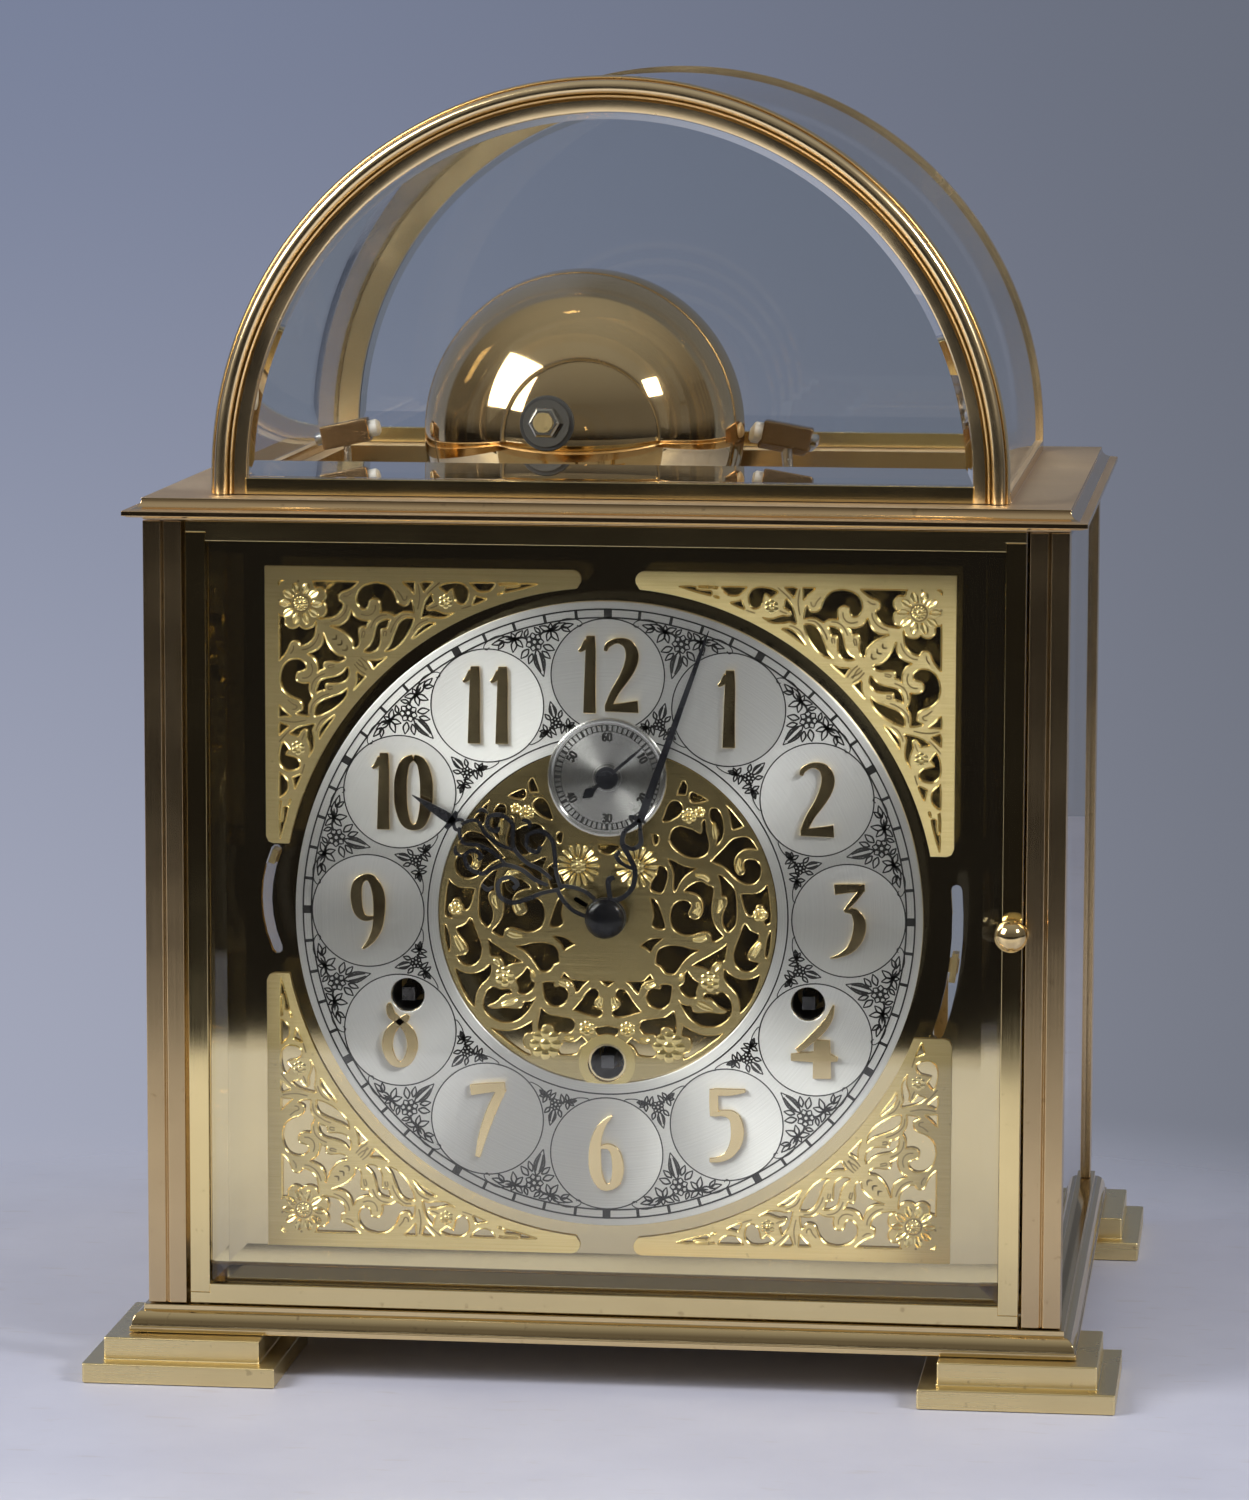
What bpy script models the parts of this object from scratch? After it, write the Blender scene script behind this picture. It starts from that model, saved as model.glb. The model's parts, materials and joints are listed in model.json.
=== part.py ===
"""Four-glass brass mantel clock with an arched glass hood, bells and a three-train movement.

Metres, +Z up, front towards -Y. The origin is on the table, under the middle of the case.
"""
from math import asin, atan2, cos, pi, radians, sin, sqrt

import bmesh
import bpy
from mathutils import Vector

# Fits
FIT = 0.0003                      # gap left between pieces that touch
RUNNING = 0.0004                  # radial room round a turning arbor

# Case
CASE_WIDTH = 0.250                # over the corner pillars
CASE_DEPTH = 0.2116
PILLAR_HEIGHT = 0.21555
PILLAR_SIZE = 0.0105
PILLAR_GROOVE = 0.0012            # width of the groove cut down both outer faces
PILLAR_GROOVE_DEPTH = 0.0007
FOOT_LOWER_SIZE = 0.0532
FOOT_UPPER_SIZE = 0.0431
FOOT_LOWER_HEIGHT = 0.0055
FOOT_UPPER_HEIGHT = 0.0063
FOOT_OVERHANG = 0.0156            # lower slab past the pillars
BASE_HEIGHT = 0.00715
BASE_OVERHANG = 0.0046
BASE_SECTION = (                  # shares of the overhang and of the height, from the bottom up
    (1.0, 0.0), (1.0, 0.21), (0.90, 0.21), (0.87, 0.39), (0.78, 0.55), (0.63, 0.68), (0.45, 0.76),
    (0.25, 0.79), (0.25, 1.0))
BASE_FLOOR = 0.0030
BASE_RIM = 0.0170                 # width of the rim that carries pillars and glass
CORNICE_HEIGHT = 0.0059
CORNICE_LIP = 0.0049
CORNICE_SECTION = (               # shares of the lip and of the height, from the bottom up
    (0.0, 0.0), (0.0, 0.08), (0.43, 0.10), (0.74, 0.14), (0.85, 0.20), (1.0, 0.20), (1.0, 0.44),
    (0.85, 0.46), (0.54, 0.50), (0.28, 0.59), (0.11, 0.73), (0.05, 0.90), (0.05, 1.0))
CORNICE_RIM = 0.0260
SIDE_GLASS = 0.0040
SIDE_GLASS_RECESS = 0.0015        # glass face behind the pillar face

# Doors
DOOR_GAP = 0.0010                 # between a stile and its pillar
DOOR_BAR = 0.0054
DOOR_THICKNESS = 0.0044
DOOR_RECESS = 0.0008              # door face behind the pillar face
DOOR_GLASS = 0.0032
DOOR_BEVEL = 0.0050
DOOR_PIN_RADIUS = 0.0010
DOOR_PIN_LENGTH = 0.0024
DOOR_PIN_INSET = 0.0040           # from the stile's outer edge
KNOB_RADIUS = 0.0045
KNOB_NECK = 0.0018
KNOB_NECK_RADIUS = 0.00225

# Hood
HOOD_INSET = 0.0168               # arch legs in from the pillar faces
HOOD_SETBACK = 0.0088             # arch faces back from the pillar faces
HOOD_LEG = 0.0050
ARCH_BAND = 0.0096
ARCH_DEPTH = 0.0070
ARCH_RAIL = 0.0044
ARCH_SECTION = (                  # shares of the band and of the depth, from the inner edge out
    (0.0, 0.0), (0.0, 0.71), (0.26, 0.71), (0.30, 0.59), (0.34, 0.71), (0.39, 0.88), (0.53, 1.0),
    (0.71, 1.0), (0.85, 0.88), (0.92, 0.71), (1.0, 0.62), (1.0, 0.0))
ARCH_GLASS = 0.0030
ARCH_BEVEL = 0.0047
VAULT_GLASS = 0.0025
VAULT_INSET = 0.0011              # vault inside the arches' outer edge
CURB_WIDTH = 0.0050
CURB_HEIGHT = 0.0030

# Dial
DIAL_SETBACK = 0.0163             # dial face behind the pillar faces
DIAL_HEIGHT = 0.1083              # dial centre above the base
DIAL_THICKNESS = 0.0020
DIAL_FOOT_RADIUS = 0.00245
DIAL_FOOT_X = 0.0451
DIAL_FOOT_RISE = 0.0570           # upper feet above the dial centre
DIAL_FOOT_DROP = 0.0551           # lower feet below it
CHAPTER_RADIUS = 0.0860
CHAPTER_INNER = 0.0466
CHAPTER_THICKNESS = 0.0012
CENTRE_RADIUS = 0.0462
CENTRE_THICKNESS = 0.0008
SECONDS_RISE = 0.0381             # seconds arbor above the dial centre
SECONDS_RADIUS = 0.0159
SECONDS_THICKNESS = 0.0008
SPANDREL_HALF = 0.0942
SPANDREL_ARC = 0.0895
SPANDREL_THICKNESS = 0.0008
SPANDREL_GAP_X = 0.0075           # end of the level leg from the middle line
SPANDREL_GAP_Z = 0.0180           # end of the upright leg from the middle line
SPANDREL_GAP_LEVER = 0.0320       # the same beside the right-hand slot
WINDING_HOLE = 0.0047
SIDE_WINDING_X = 0.0550
SIDE_WINDING_DROP = 0.0232
MIDDLE_WINDING_DROP = 0.0408

# Hands, shown at three minutes past ten
HAND_THICKNESS = 0.0008
HAND_GAP = 0.0006
MINUTE_LENGTH = 0.0840
HOUR_LENGTH = 0.0620
SECOND_LENGTH = 0.0145
HAND_HUB = 0.0056
HAND_NUT_HEIGHT = 0.0025
HOUR_WIDTHS = (                   # shares of the length, and half widths there
    (0.0, 0.0012), (0.22, 0.0012), (0.32, 0.0070), (0.48, 0.0085), (0.62, 0.0030), (0.70, 0.0014))
MINUTE_WIDTHS = (
    (0.0, 0.0012), (0.17, 0.0011), (0.23, 0.0034), (0.33, 0.0030), (0.40, 0.0016), (0.95, 0.0006))
SECOND_WIDTH = 0.0010
SECOND_HUB = 0.0025
SECOND_TAIL = 0.0087
SECOND_TAIL_WIDTH = 0.0030
SECOND_POINT = 0.0015             # length of the points at both ends
MINUTE_ANGLE = radians(19.5)
HOUR_ANGLE = radians(301.6)
SECOND_ANGLE = radians(49.0)

# Levers in the dial slots
SLOT_WIDTH = 0.0030
LEVER_THICKNESS = 0.0010
LEVER_SKIM = 0.0001               # arm thinner than its boss on each face
LEVER_ARM = 0.0040
LEVER_TIP = 0.0020
LEVER_PROUD = 0.0020
SILENT_PIVOT_X = -0.0603
SILENT_PIVOT_RISE = 0.0026
SILENT_RADIUS = 0.0340
SILENT_STUD = 0.0025
SILENT_FROM = radians(156.5)
SILENT_TO = radians(204.0)
SILENT_AT = radians(159.5)
SILENT_TIP = 0.0040
MELODY_RADIUS = 0.0954
MELODY_BOSS = 0.0070
MELODY_FROM = radians(-18.7)
MELODY_TO = radians(5.3)
MELODY_AT = radians(-7.4)
MELODY_TIP = 0.0080

# Movement
MOVEMENT_SETBACK = 0.0175         # front plate behind the dial face
PLATE_THICKNESS = 0.0020
PLATE_SPACING = 0.0580            # clear room between the plates
PLATE_HALF_WIDTH = 0.0880
PLATE_DROP = 0.0700               # bottom edge below the dial centre
PLATE_RISE = 0.0670
MOVEMENT_PILLAR = 0.0035
ARBOR = 0.0012
CENTRE_ARBOR = 0.0020
BARREL_ARBOR = 0.0030
WINDING_SQUARE = 0.0036
GOING_BARREL_RADIUS = 0.0270
GOING_BARREL_LENGTH = 0.0215
SIDE_BARREL_RADIUS = 0.0225
SIDE_BARREL_LENGTH = 0.0380
WHEEL_THICKNESS = 0.0016
GREAT_WHEEL_THICKNESS = 0.0025
PINION_LENGTH = 0.0040
TOOTH_TIP = 0.8                   # modules outside the pitch circle
TOOTH_ROOT = 1.1                  # modules inside it
TOOTH_HALF = 0.25                 # half a tooth at its root, in pitches

GOING_TEETH = 32
GOING_PINION = 8
CENTRE_TEETH = 48
THIRD_PINION = 6
CENTRE_MODULE = 0.0008
THIRD_TEETH = 45
ESCAPE_PINION = 6
THIRD_MODULE = 0.000733
ESCAPE_TEETH = 15
ESCAPE_RADIUS = 0.0090
SIDE_TEETH = 30
DRUM_PINION = 6
SIDE_MODULE = 0.0018
DRUM_BEARING = radians(79.3)      # chime drum seen from the chime barrel
DRUM_RADIUS = 0.0110
DRUM_LENGTH = 0.0500
CANNON_TEETH = 8
MINUTE_TEETH = 24
CANNON_MODULE = 0.00075
MINUTE_STUD = 0.0008
MINUTE_PINION = 8
HOUR_TEETH = 32
MINUTE_BEARING = radians(-120.0)  # minute wheel stud seen from the dial centre
HOUR_PIPE = 0.0040
BALANCE_X = -0.0460
BALANCE_RISE = 0.0500
BALANCE_RADIUS = 0.0110
BALANCE_RIM = 0.0022

# Bells and hammers
BELL_RADIUS = 0.0459
BELL_WALL = 0.0018
BELL_SKIRT = 0.0030
BELL_X = -0.0178
BELL_RISE = 0.0117                # bell centre above the cornice
BELL_SETBACK = 0.1058             # bell centre behind the pillar faces
BELL_YAW = radians(6.3)
BELL_TILT = radians(6.3)
BELL_STEP = 0.0130                # from one rim to the next
BELL_SHRINK = 0.0030              # each bell smaller than the one before
CHIME_BELLS = 3
SPINDLE_RADIUS = 0.0028
SPINDLE_STEP = 0.0006
SPINDLE_TAIL = 0.0620
STAND_BAR = 0.0080
STAND_ARM = 0.0072
STAND_DROP = 0.0240               # stand foot below the top of the plates
NUT_RADIUS = 0.0046
NUT_HEIGHT = 0.0040
SPINDLE_PROUD = 0.0010            # spindle past its nut
HAMMER_LENGTH = 0.0140
HAMMER_HEIGHT = 0.0068
HAMMER_WIDTH = 0.0060
HAMMER_TIP = 0.0030
HAMMER_TIP_HEIGHT = 0.0038
HAMMER_TIP_WIDTH = 0.0036
HAMMER_SCREW = 0.0021             # screw head behind the hammer
HAMMER_SHAFT = 0.0011
HAMMER_STUD = 0.0020
HAMMER_HUB = 0.0042
HAMMER_HUB_WIDTH = 0.0054
HAMMER_TAIL = 0.0010              # half depth of the tail that the drum lifts
HAMMER_TAIL_GAP = 0.0015          # tail off the drum
CHIME_GAP = 0.0020                # hammer tip off its bell
CHIME_PIVOT_X = 0.0460
CHIME_PIVOT_DROP = 0.0365         # hammer arbor below the top of the plates
CHIME_LEAN = radians(-10.0)
HOUR_CLEARANCE = 0.0097           # hour hammer off the vault
HOUR_PIVOT_X = -0.0820
HOUR_PIVOT_DROP = 0.0125
HOUR_LEAN = radians(12.0)

# Levels and faces worked out from the sizes above
HALF_W = CASE_WIDTH / 2
HALF_D = CASE_DEPTH / 2
FOOT_TOP = FOOT_LOWER_HEIGHT + FOOT_UPPER_HEIGHT
BASE_BOTTOM = FOOT_TOP + FIT
BASE_TOP = BASE_BOTTOM + BASE_HEIGHT
PILLAR_BOTTOM = BASE_TOP + FIT
PILLAR_TOP = PILLAR_BOTTOM + PILLAR_HEIGHT
CORNICE_BOTTOM = PILLAR_TOP + FIT
CORNICE_TOP = CORNICE_BOTTOM + CORNICE_HEIGHT
HOOD_BOTTOM = CORNICE_TOP + FIT
HOOD_RADIUS = HALF_W - HOOD_INSET
HOOD_CENTRE = HOOD_BOTTOM + HOOD_LEG
ARCH_FACE = HALF_D - HOOD_SETBACK
ARCH_BACK = ARCH_FACE - ARCH_DEPTH
DIAL_FACE = -HALF_D + DIAL_SETBACK
DIAL_BACK = DIAL_FACE + DIAL_THICKNESS
DIAL_Z = BASE_TOP + DIAL_HEIGHT
PLATE_FRONT = DIAL_FACE + MOVEMENT_SETBACK
PLATE_FRONT_BACK = PLATE_FRONT + PLATE_THICKNESS
PLATE_REAR = PLATE_FRONT_BACK + PLATE_SPACING
PLATE_REAR_BACK = PLATE_REAR + PLATE_THICKNESS
PLATE_TOP = DIAL_Z + PLATE_RISE
ROUND = 24                        # sides of a turned piece


def clear_scene():
    for obj in list(bpy.data.objects):
        bpy.data.objects.remove(obj, do_unlink=True)


def finish(name, colour, roughness, metallic, alpha=1.0):
    material = bpy.data.materials.new(name)
    material.use_nodes = True
    shader = material.node_tree.nodes["Principled BSDF"]
    shader.inputs["Base Color"].default_value = (*colour, 1.0)
    shader.inputs["Roughness"].default_value = roughness
    shader.inputs["Metallic"].default_value = metallic
    shader.inputs["Alpha"].default_value = alpha
    return material


clear_scene()
BRASS = finish("satin_brass", (0.60, 0.44, 0.19), 0.35, 1.0)
MIRROR = finish("mirror_brass", (0.72, 0.56, 0.27), 0.08, 1.0)
GILT = finish("gilt_brass", (0.78, 0.62, 0.28), 0.30, 1.0)
SILVER = finish("silvered_brass", (0.72, 0.72, 0.71), 0.35, 1.0)
BLACK = finish("black_steel", (0.02, 0.02, 0.02), 0.35, 0.6)
GLASS = finish("glass", (0.85, 0.92, 0.92), 0.03, 0.0, 0.25)


def node(name, bm, material, at=(0.0, 0.0, 0.0), parent=None):
    """One named object from a finished bmesh, shaded smooth with sharp corners kept."""
    bmesh.ops.remove_doubles(bm, verts=bm.verts, dist=1e-7)
    bmesh.ops.recalc_face_normals(bm, faces=bm.faces)
    mesh = bpy.data.meshes.new(name)
    bm.to_mesh(mesh)
    bm.free()
    mesh.shade_smooth()
    mesh.set_sharp_from_angle(angle=radians(35.0))
    mesh.materials.append(material)
    obj = bpy.data.objects.new(name, mesh)
    bpy.context.collection.objects.link(obj)
    obj.location = at
    obj.parent = parent
    return obj


def combine(obj, operation, name, bm, parent=None, at=(0.0, 0.0, 0.0)):
    """Joins a shape to an object, or cuts it out, with a Boolean; the shape itself is a guide."""
    tool = node(name, bm, obj.data.materials[0], at, obj if parent is None else parent)
    tool.hide_render = True
    tool.display_type = "WIRE"
    modifier = obj.modifiers.new(name, "BOOLEAN")
    modifier.operation = operation
    modifier.solver = "EXACT"
    modifier.object = tool


def block(low, high):
    bm = bmesh.new()
    bmesh.ops.create_cube(bm, size=1.0)
    low, high = Vector(low), Vector(high)
    for vert in bm.verts:
        for axis in range(3):
            vert.co[axis] = low[axis] if vert.co[axis] < 0 else high[axis]
    return bm


def skin(bm, loops, ring=False, caps=True):
    """Quads between loops of the same length; a ring closes on itself, else the ends are capped."""
    rows = [[bm.verts.new(point) for point in loop] for loop in loops]
    pairs = list(zip(rows, rows[1:]))
    if ring:
        pairs.append((rows[-1], rows[0]))
    for first, second in pairs:
        count = len(first)
        for i in range(count):
            j = (i + 1) % count
            bm.faces.new((first[i], first[j], second[j], second[i]))
    if caps and not ring:
        bm.faces.new(rows[0])
        bm.faces.new(rows[-1])
    return bm


def rectangle(half_x, half_y, z):
    return [(-half_x, -half_y, z), (half_x, -half_y, z), (half_x, half_y, z), (-half_x, half_y, z)]


def circle(radius, steps, centre=(0.0, 0.0)):
    turn = [2 * pi * i / steps for i in range(steps)]
    return [(centre[0] + radius * cos(a), centre[1] + radius * sin(a)) for a in turn]


def arc(radius, start, end, steps, centre=(0.0, 0.0)):
    angles = [start + (end - start) * i / steps for i in range(steps + 1)]
    return [(centre[0] + radius * cos(a), centre[1] + radius * sin(a)) for a in angles]


def slab(outlines, y_low, y_high):
    """A flat plate in the XZ plane; the first outline is its edge and the rest are holes."""
    bm = bmesh.new()
    edges = []
    for outline in outlines:
        verts = [bm.verts.new((x, y_low, z)) for x, z in outline]
        count = len(verts)
        edges += [bm.edges.new((verts[i], verts[(i + 1) % count])) for i in range(count)]
    bmesh.ops.triangle_fill(bm, use_beauty=True, edges=edges)
    raised = bmesh.ops.extrude_face_region(bm, geom=list(bm.faces))
    moved = [item for item in raised["geom"] if isinstance(item, bmesh.types.BMVert)]
    bmesh.ops.translate(bm, verts=moved, vec=(0.0, y_high - y_low, 0.0))
    return bm


def turned(profile, sides=ROUND, closed=False):
    """A piece turned about Y from (radius, y) points; a closed profile makes a ring."""
    bm = bmesh.new()
    rows = []
    for radius, y in profile:
        if radius == 0.0:
            rows.append([bm.verts.new((0.0, y, 0.0))])
        else:
            rows.append([bm.verts.new((x, y, z)) for x, z in circle(radius, sides)])
    pairs = list(zip(rows, rows[1:]))
    if closed:
        pairs.append((rows[-1], rows[0]))
    for first, second in pairs:
        for i in range(sides):
            j = (i + 1) % sides
            corners = [first[i % len(first)], first[j % len(first)]]
            corners += [second[j % len(second)], second[i % len(second)]]
            bm.faces.new(list(dict.fromkeys(corners)))
    return bm


def rod(radius, y_low, y_high, sides=ROUND):
    return turned([(0.0, y_low), (radius, y_low), (radius, y_high), (0.0, y_high)], sides)


def tube(inner, outer, y_low, y_high, sides=ROUND):
    profile = [(inner, y_low), (outer, y_low), (outer, y_high), (inner, y_high)]
    return turned(profile, sides, closed=True)


def gear_outline(teeth, module, first_tooth):
    """Slim pointed teeth, with one tooth centred on the angle given."""
    pitch = 2 * pi / teeth
    tip = module * (teeth / 2 + TOOTH_TIP)
    root = module * (teeth / 2 - TOOTH_ROOT)
    points = []
    for i in range(teeth):
        middle = first_tooth + i * pitch
        for radius, share in ((root, -TOOTH_HALF), (tip, 0.0), (root, TOOTH_HALF)):
            angle = middle + share * pitch
            points.append((radius * cos(angle), radius * sin(angle)))
    return points


def feet():
    x = HALF_W + FOOT_OVERHANG - FOOT_LOWER_SIZE / 2
    y = HALF_D + FOOT_OVERHANG - FOOT_LOWER_SIZE / 2
    lower, upper = FOOT_LOWER_SIZE / 2, FOOT_UPPER_SIZE / 2
    levels = [(lower, 0.0), (lower, FOOT_LOWER_HEIGHT), (upper, FOOT_LOWER_HEIGHT), (upper, FOOT_TOP)]
    for end, y_side in (("front", -1), ("rear", 1)):
        for side, x_side in (("left", -1), ("right", 1)):
            loops = [rectangle(half, half, z) for half, z in levels]
            node(f"foot_{end}_{side}", skin(bmesh.new(), loops), BRASS, (x_side * x, y_side * y, 0.0))


def hinge_pin_places():
    """Pin axes of the front and the rear door, both on the left."""
    x = -HALF_W + PILLAR_SIZE + DOOR_GAP + DOOR_PIN_INSET
    y = HALF_D - DOOR_RECESS - DOOR_THICKNESS / 2
    return (x, -y), (x, y)


def pin_hole(z_low, z_high):
    """An upright cutter for a door pin, wider than the pin by the running room."""
    points = circle(DOOR_PIN_RADIUS + RUNNING, 12)
    return skin(bmesh.new(), [[(x, y, z) for x, y in points] for z in (z_low, z_high)])


def base():
    """A tray: fillet, ovolo and top fillet outside, a recessed floor inside."""
    profile = [(BASE_OVERHANG * out, BASE_BOTTOM + BASE_HEIGHT * rise) for out, rise in BASE_SECTION]
    profile += [(-BASE_RIM, BASE_TOP), (-BASE_RIM, BASE_BOTTOM + BASE_FLOOR)]
    loops = [rectangle(HALF_W + out, HALF_D + out, z) for out, z in profile]
    obj = node("base_plate", skin(bmesh.new(), loops), BRASS)
    for index, (x, y) in enumerate(hinge_pin_places()):
        cutter = pin_hole(BASE_TOP - DOOR_PIN_LENGTH, BASE_TOP + DOOR_PIN_LENGTH)
        combine(obj, "DIFFERENCE", f"base_pin_hole_{index}", cutter, at=(x, y, 0.0))


def pillars():
    """Square bars with a groove down the middle of both outer faces."""
    size, groove = PILLAR_SIZE, PILLAR_GROOVE / 2
    middle, depth = size / 2, PILLAR_GROOVE_DEPTH
    section = [(0, 0), (0, size), (middle - groove, size), (middle, size - depth), (middle + groove, size)]
    section += [(size, size), (size, middle + groove), (size - depth, middle)]
    section += [(size, middle - groove), (size, 0)]
    for end, y_side in (("front", -1), ("rear", 1)):
        for side, x_side in (("left", -1), ("right", 1)):
            loops = []
            for z in (PILLAR_BOTTOM, PILLAR_TOP):
                inner_x, inner_y = HALF_W - size, HALF_D - size
                loops.append([(x_side * (inner_x + x), y_side * (inner_y + y), z) for x, y in section])
            node(f"pillar_{end}_{side}", skin(bmesh.new(), loops), BRASS)


def cornice():
    """A moulded frame, open in the middle, with a raised curb under each side of the vault."""
    profile = [(CORNICE_LIP * out, CORNICE_BOTTOM + CORNICE_HEIGHT * rise) for out, rise in CORNICE_SECTION]
    profile += [(-CORNICE_RIM, CORNICE_TOP), (-CORNICE_RIM, CORNICE_BOTTOM)]
    loops = [rectangle(HALF_W + out, HALF_D + out, z) for out, z in profile]
    obj = node("cornice", skin(bmesh.new(), loops, ring=True), BRASS)
    for index, (x, y) in enumerate(hinge_pin_places()):
        cutter = pin_hole(CORNICE_BOTTOM - DOOR_PIN_LENGTH, CORNICE_BOTTOM + DOOR_PIN_LENGTH)
        combine(obj, "DIFFERENCE", f"cornice_pin_hole_{index}", cutter, at=(x, y, 0.0))
    for name, x_side in (("left", -1), ("right", 1)):
        outer = HOOD_RADIUS - VAULT_INSET + CURB_WIDTH / 4
        edges = sorted((x_side * outer, x_side * (outer - CURB_WIDTH)))
        reach = ARCH_BACK - FIT
        low = (edges[0], -reach, CORNICE_TOP - CURB_HEIGHT)
        high = (edges[1], reach, CORNICE_TOP + CURB_HEIGHT)
        combine(obj, "UNION", f"curb_{name}", block(low, high))


def side_glass():
    """Bevelled panes between the pillars."""
    middle = HALF_W - SIDE_GLASS_RECESS - SIDE_GLASS / 2
    half_y = HALF_D - PILLAR_SIZE - FIT
    low, high = PILLAR_BOTTOM, PILLAR_TOP
    bevel = DOOR_BEVEL
    for name, x_side in (("left", -1), ("right", 1)):
        loops = []
        for inset, x in ((0.0, -SIDE_GLASS / 2), (0.0, 0.0), (bevel, SIDE_GLASS / 2)):
            y, bottom, top = half_y - inset, low + inset, high - inset
            face = x_side * (middle + x)
            loops.append([(face, -y, bottom), (face, y, bottom), (face, y, top), (face, -y, top)])
        node(f"side_glass_{name}", skin(bmesh.new(), loops), GLASS)


def door(prefix, side):
    """A brass frame with pivot pins, a bevelled pane and a ball knob; side is -1 in front, 1 behind."""
    pin_x, pin_y = hinge_pin_places()[0 if side < 0 else 1]
    half = HALF_W - PILLAR_SIZE - DOOR_GAP
    low, high = PILLAR_BOTTOM, PILLAR_TOP
    face = side * (HALF_D - DOOR_RECESS)
    back = face - side * DOOR_THICKNESS
    loops = []
    for inset, y in ((0.0, back), (0.0, face), (DOOR_BAR, face), (DOOR_BAR, back)):
        x, bottom, top = half - inset, low + inset, high - inset
        loops.append([(-x, y, bottom), (x, y, bottom), (x, y, top), (-x, y, top)])
    loops = [[(x - pin_x, y - pin_y, z) for x, y, z in loop] for loop in loops]
    frame = node(f"{prefix}_frame", skin(bmesh.new(), loops, ring=True), BRASS, (pin_x, pin_y, 0.0))
    for name, edge in (("foot", low), ("head", high)):
        points = circle(DOOR_PIN_RADIUS, 12)
        reach = DOOR_PIN_LENGTH - FIT
        ends = (edge - reach, edge + reach)
        pin = skin(bmesh.new(), [[(x, y, z) for x, y in points] for z in ends])
        combine(frame, "UNION", f"{prefix}_{name}_pin", pin)
    inside = DOOR_BAR + FIT
    pane = []
    middle = (face + back) / 2
    outer = middle + side * DOOR_GLASS / 2
    inner = middle - side * DOOR_GLASS / 2
    for inset, y in ((0.0, inner), (0.0, middle), (DOOR_BEVEL, outer)):
        x, bottom, top = half - inside - inset, low + inside + inset, high - inside - inset
        pane.append([(-x, y, bottom), (x, y, bottom), (x, y, top), (-x, y, top)])
    pane = [[(x - pin_x, y - pin_y, z) for x, y, z in loop] for loop in pane]
    node(f"{prefix}_glass", skin(bmesh.new(), pane), GLASS, (pin_x, pin_y, 0.0))
    neck_angle = asin(KNOB_NECK_RADIUS / KNOB_RADIUS)
    centre = KNOB_NECK + KNOB_RADIUS * cos(neck_angle)
    profile = [(0.0, 0.0), (KNOB_NECK_RADIUS, 0.0)]
    profile += [(radius, centre + y) for y, radius in arc(KNOB_RADIUS, pi - neck_angle, 0.0, 6)[:-1]]
    profile.append((0.0, centre + KNOB_RADIUS))
    knob = turned([(radius, side * y) for radius, y in profile], 12)
    knob_at = (half - DOOR_BAR / 2, face + side * FIT, DIAL_Z)
    node(f"{prefix}_knob", knob, BRASS, knob_at)


def arch_stations(inner_inset, outer_inset, steps=24):
    """Pairs of inner and outer points round the D of an arch, with its bottom rail."""
    inner = HOOD_RADIUS - ARCH_BAND - inner_inset
    outer = HOOD_RADIUS - outer_inset
    rail = HOOD_BOTTOM + ARCH_RAIL + inner_inset
    centre = (0.0, HOOD_CENTRE)
    pairs = list(zip(arc(inner, 0.0, pi, steps, centre), arc(outer, 0.0, pi, steps, centre)))
    pairs.append(((-inner, rail), (-outer, HOOD_BOTTOM + outer_inset)))
    pairs.append(((inner, rail), (outer, HOOD_BOTTOM + outer_inset)))
    return pairs


def arches():
    """Front and rear D-shaped frames: inner flat, groove, round bead and thin outer edge."""
    for name, side in (("front", -1), ("rear", 1)):
        loops = []
        for inner, outer in arch_stations(0.0, 0.0):
            loop = []
            for share, rise in ARCH_SECTION:
                x = inner[0] + (outer[0] - inner[0]) * share
                z = inner[1] + (outer[1] - inner[1]) * share
                loop.append((x, side * (ARCH_BACK + ARCH_DEPTH * rise), z))
            loops.append(loop)
        node(f"{name}_arch", skin(bmesh.new(), loops, ring=True), BRASS)
        pane = []
        glass_back = ARCH_BACK + FIT
        for inset, depth in ((FIT, 0.0), (FIT, ARCH_GLASS / 2), (ARCH_BEVEL, ARCH_GLASS)):
            edge = [inner for inner, _ in arch_stations(inset, 0.0)]
            pane.append([(x, side * (glass_back + depth), z) for x, z in edge])
        node(f"{name}_arch_glass", skin(bmesh.new(), pane), GLASS)


def vault():
    """The bent glass roof, standing on the curbs between the two arches."""
    outer = HOOD_RADIUS - VAULT_INSET
    inner = outer - VAULT_GLASS
    foot = CORNICE_TOP + CURB_HEIGHT + FIT
    centre = (0.0, HOOD_CENTRE)
    outline = [(outer, foot)] + arc(outer, 0.0, pi, 28, centre) + [(-outer, foot)]
    outline += [(-inner, foot)] + arc(inner, pi, 0.0, 28, centre) + [(inner, foot)]
    reach = ARCH_BACK - FIT
    node("vault_glass", slab([outline], -reach, reach), GLASS)


def winding_places():
    """Barrel arbors, from the dial centre: going, strike and chime."""
    return {"going": (0.0, -MIDDLE_WINDING_DROP), "strike": (-SIDE_WINDING_X, -SIDE_WINDING_DROP),
            "chime": (SIDE_WINDING_X, -SIDE_WINDING_DROP)}


def slot_outline(centre, radius, start, end):
    """A curved slot with round ends."""
    half = SLOT_WIDTH / 2
    points = arc(radius + half, start, end, 6, centre)
    far = (centre[0] + radius * cos(end), centre[1] + radius * sin(end))
    points += arc(half, end, end + pi, 4, far)[1:-1]
    points += arc(radius - half, end, start, 6, centre)
    near = (centre[0] + radius * cos(start), centre[1] + radius * sin(start))
    points += arc(half, start + pi, start + 2 * pi, 4, near)[1:-1]
    return points


def dial_feet_places():
    return [(x, z) for x in (-DIAL_FOOT_X, DIAL_FOOT_X) for z in (-DIAL_FOOT_DROP, DIAL_FOOT_RISE)]


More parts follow.
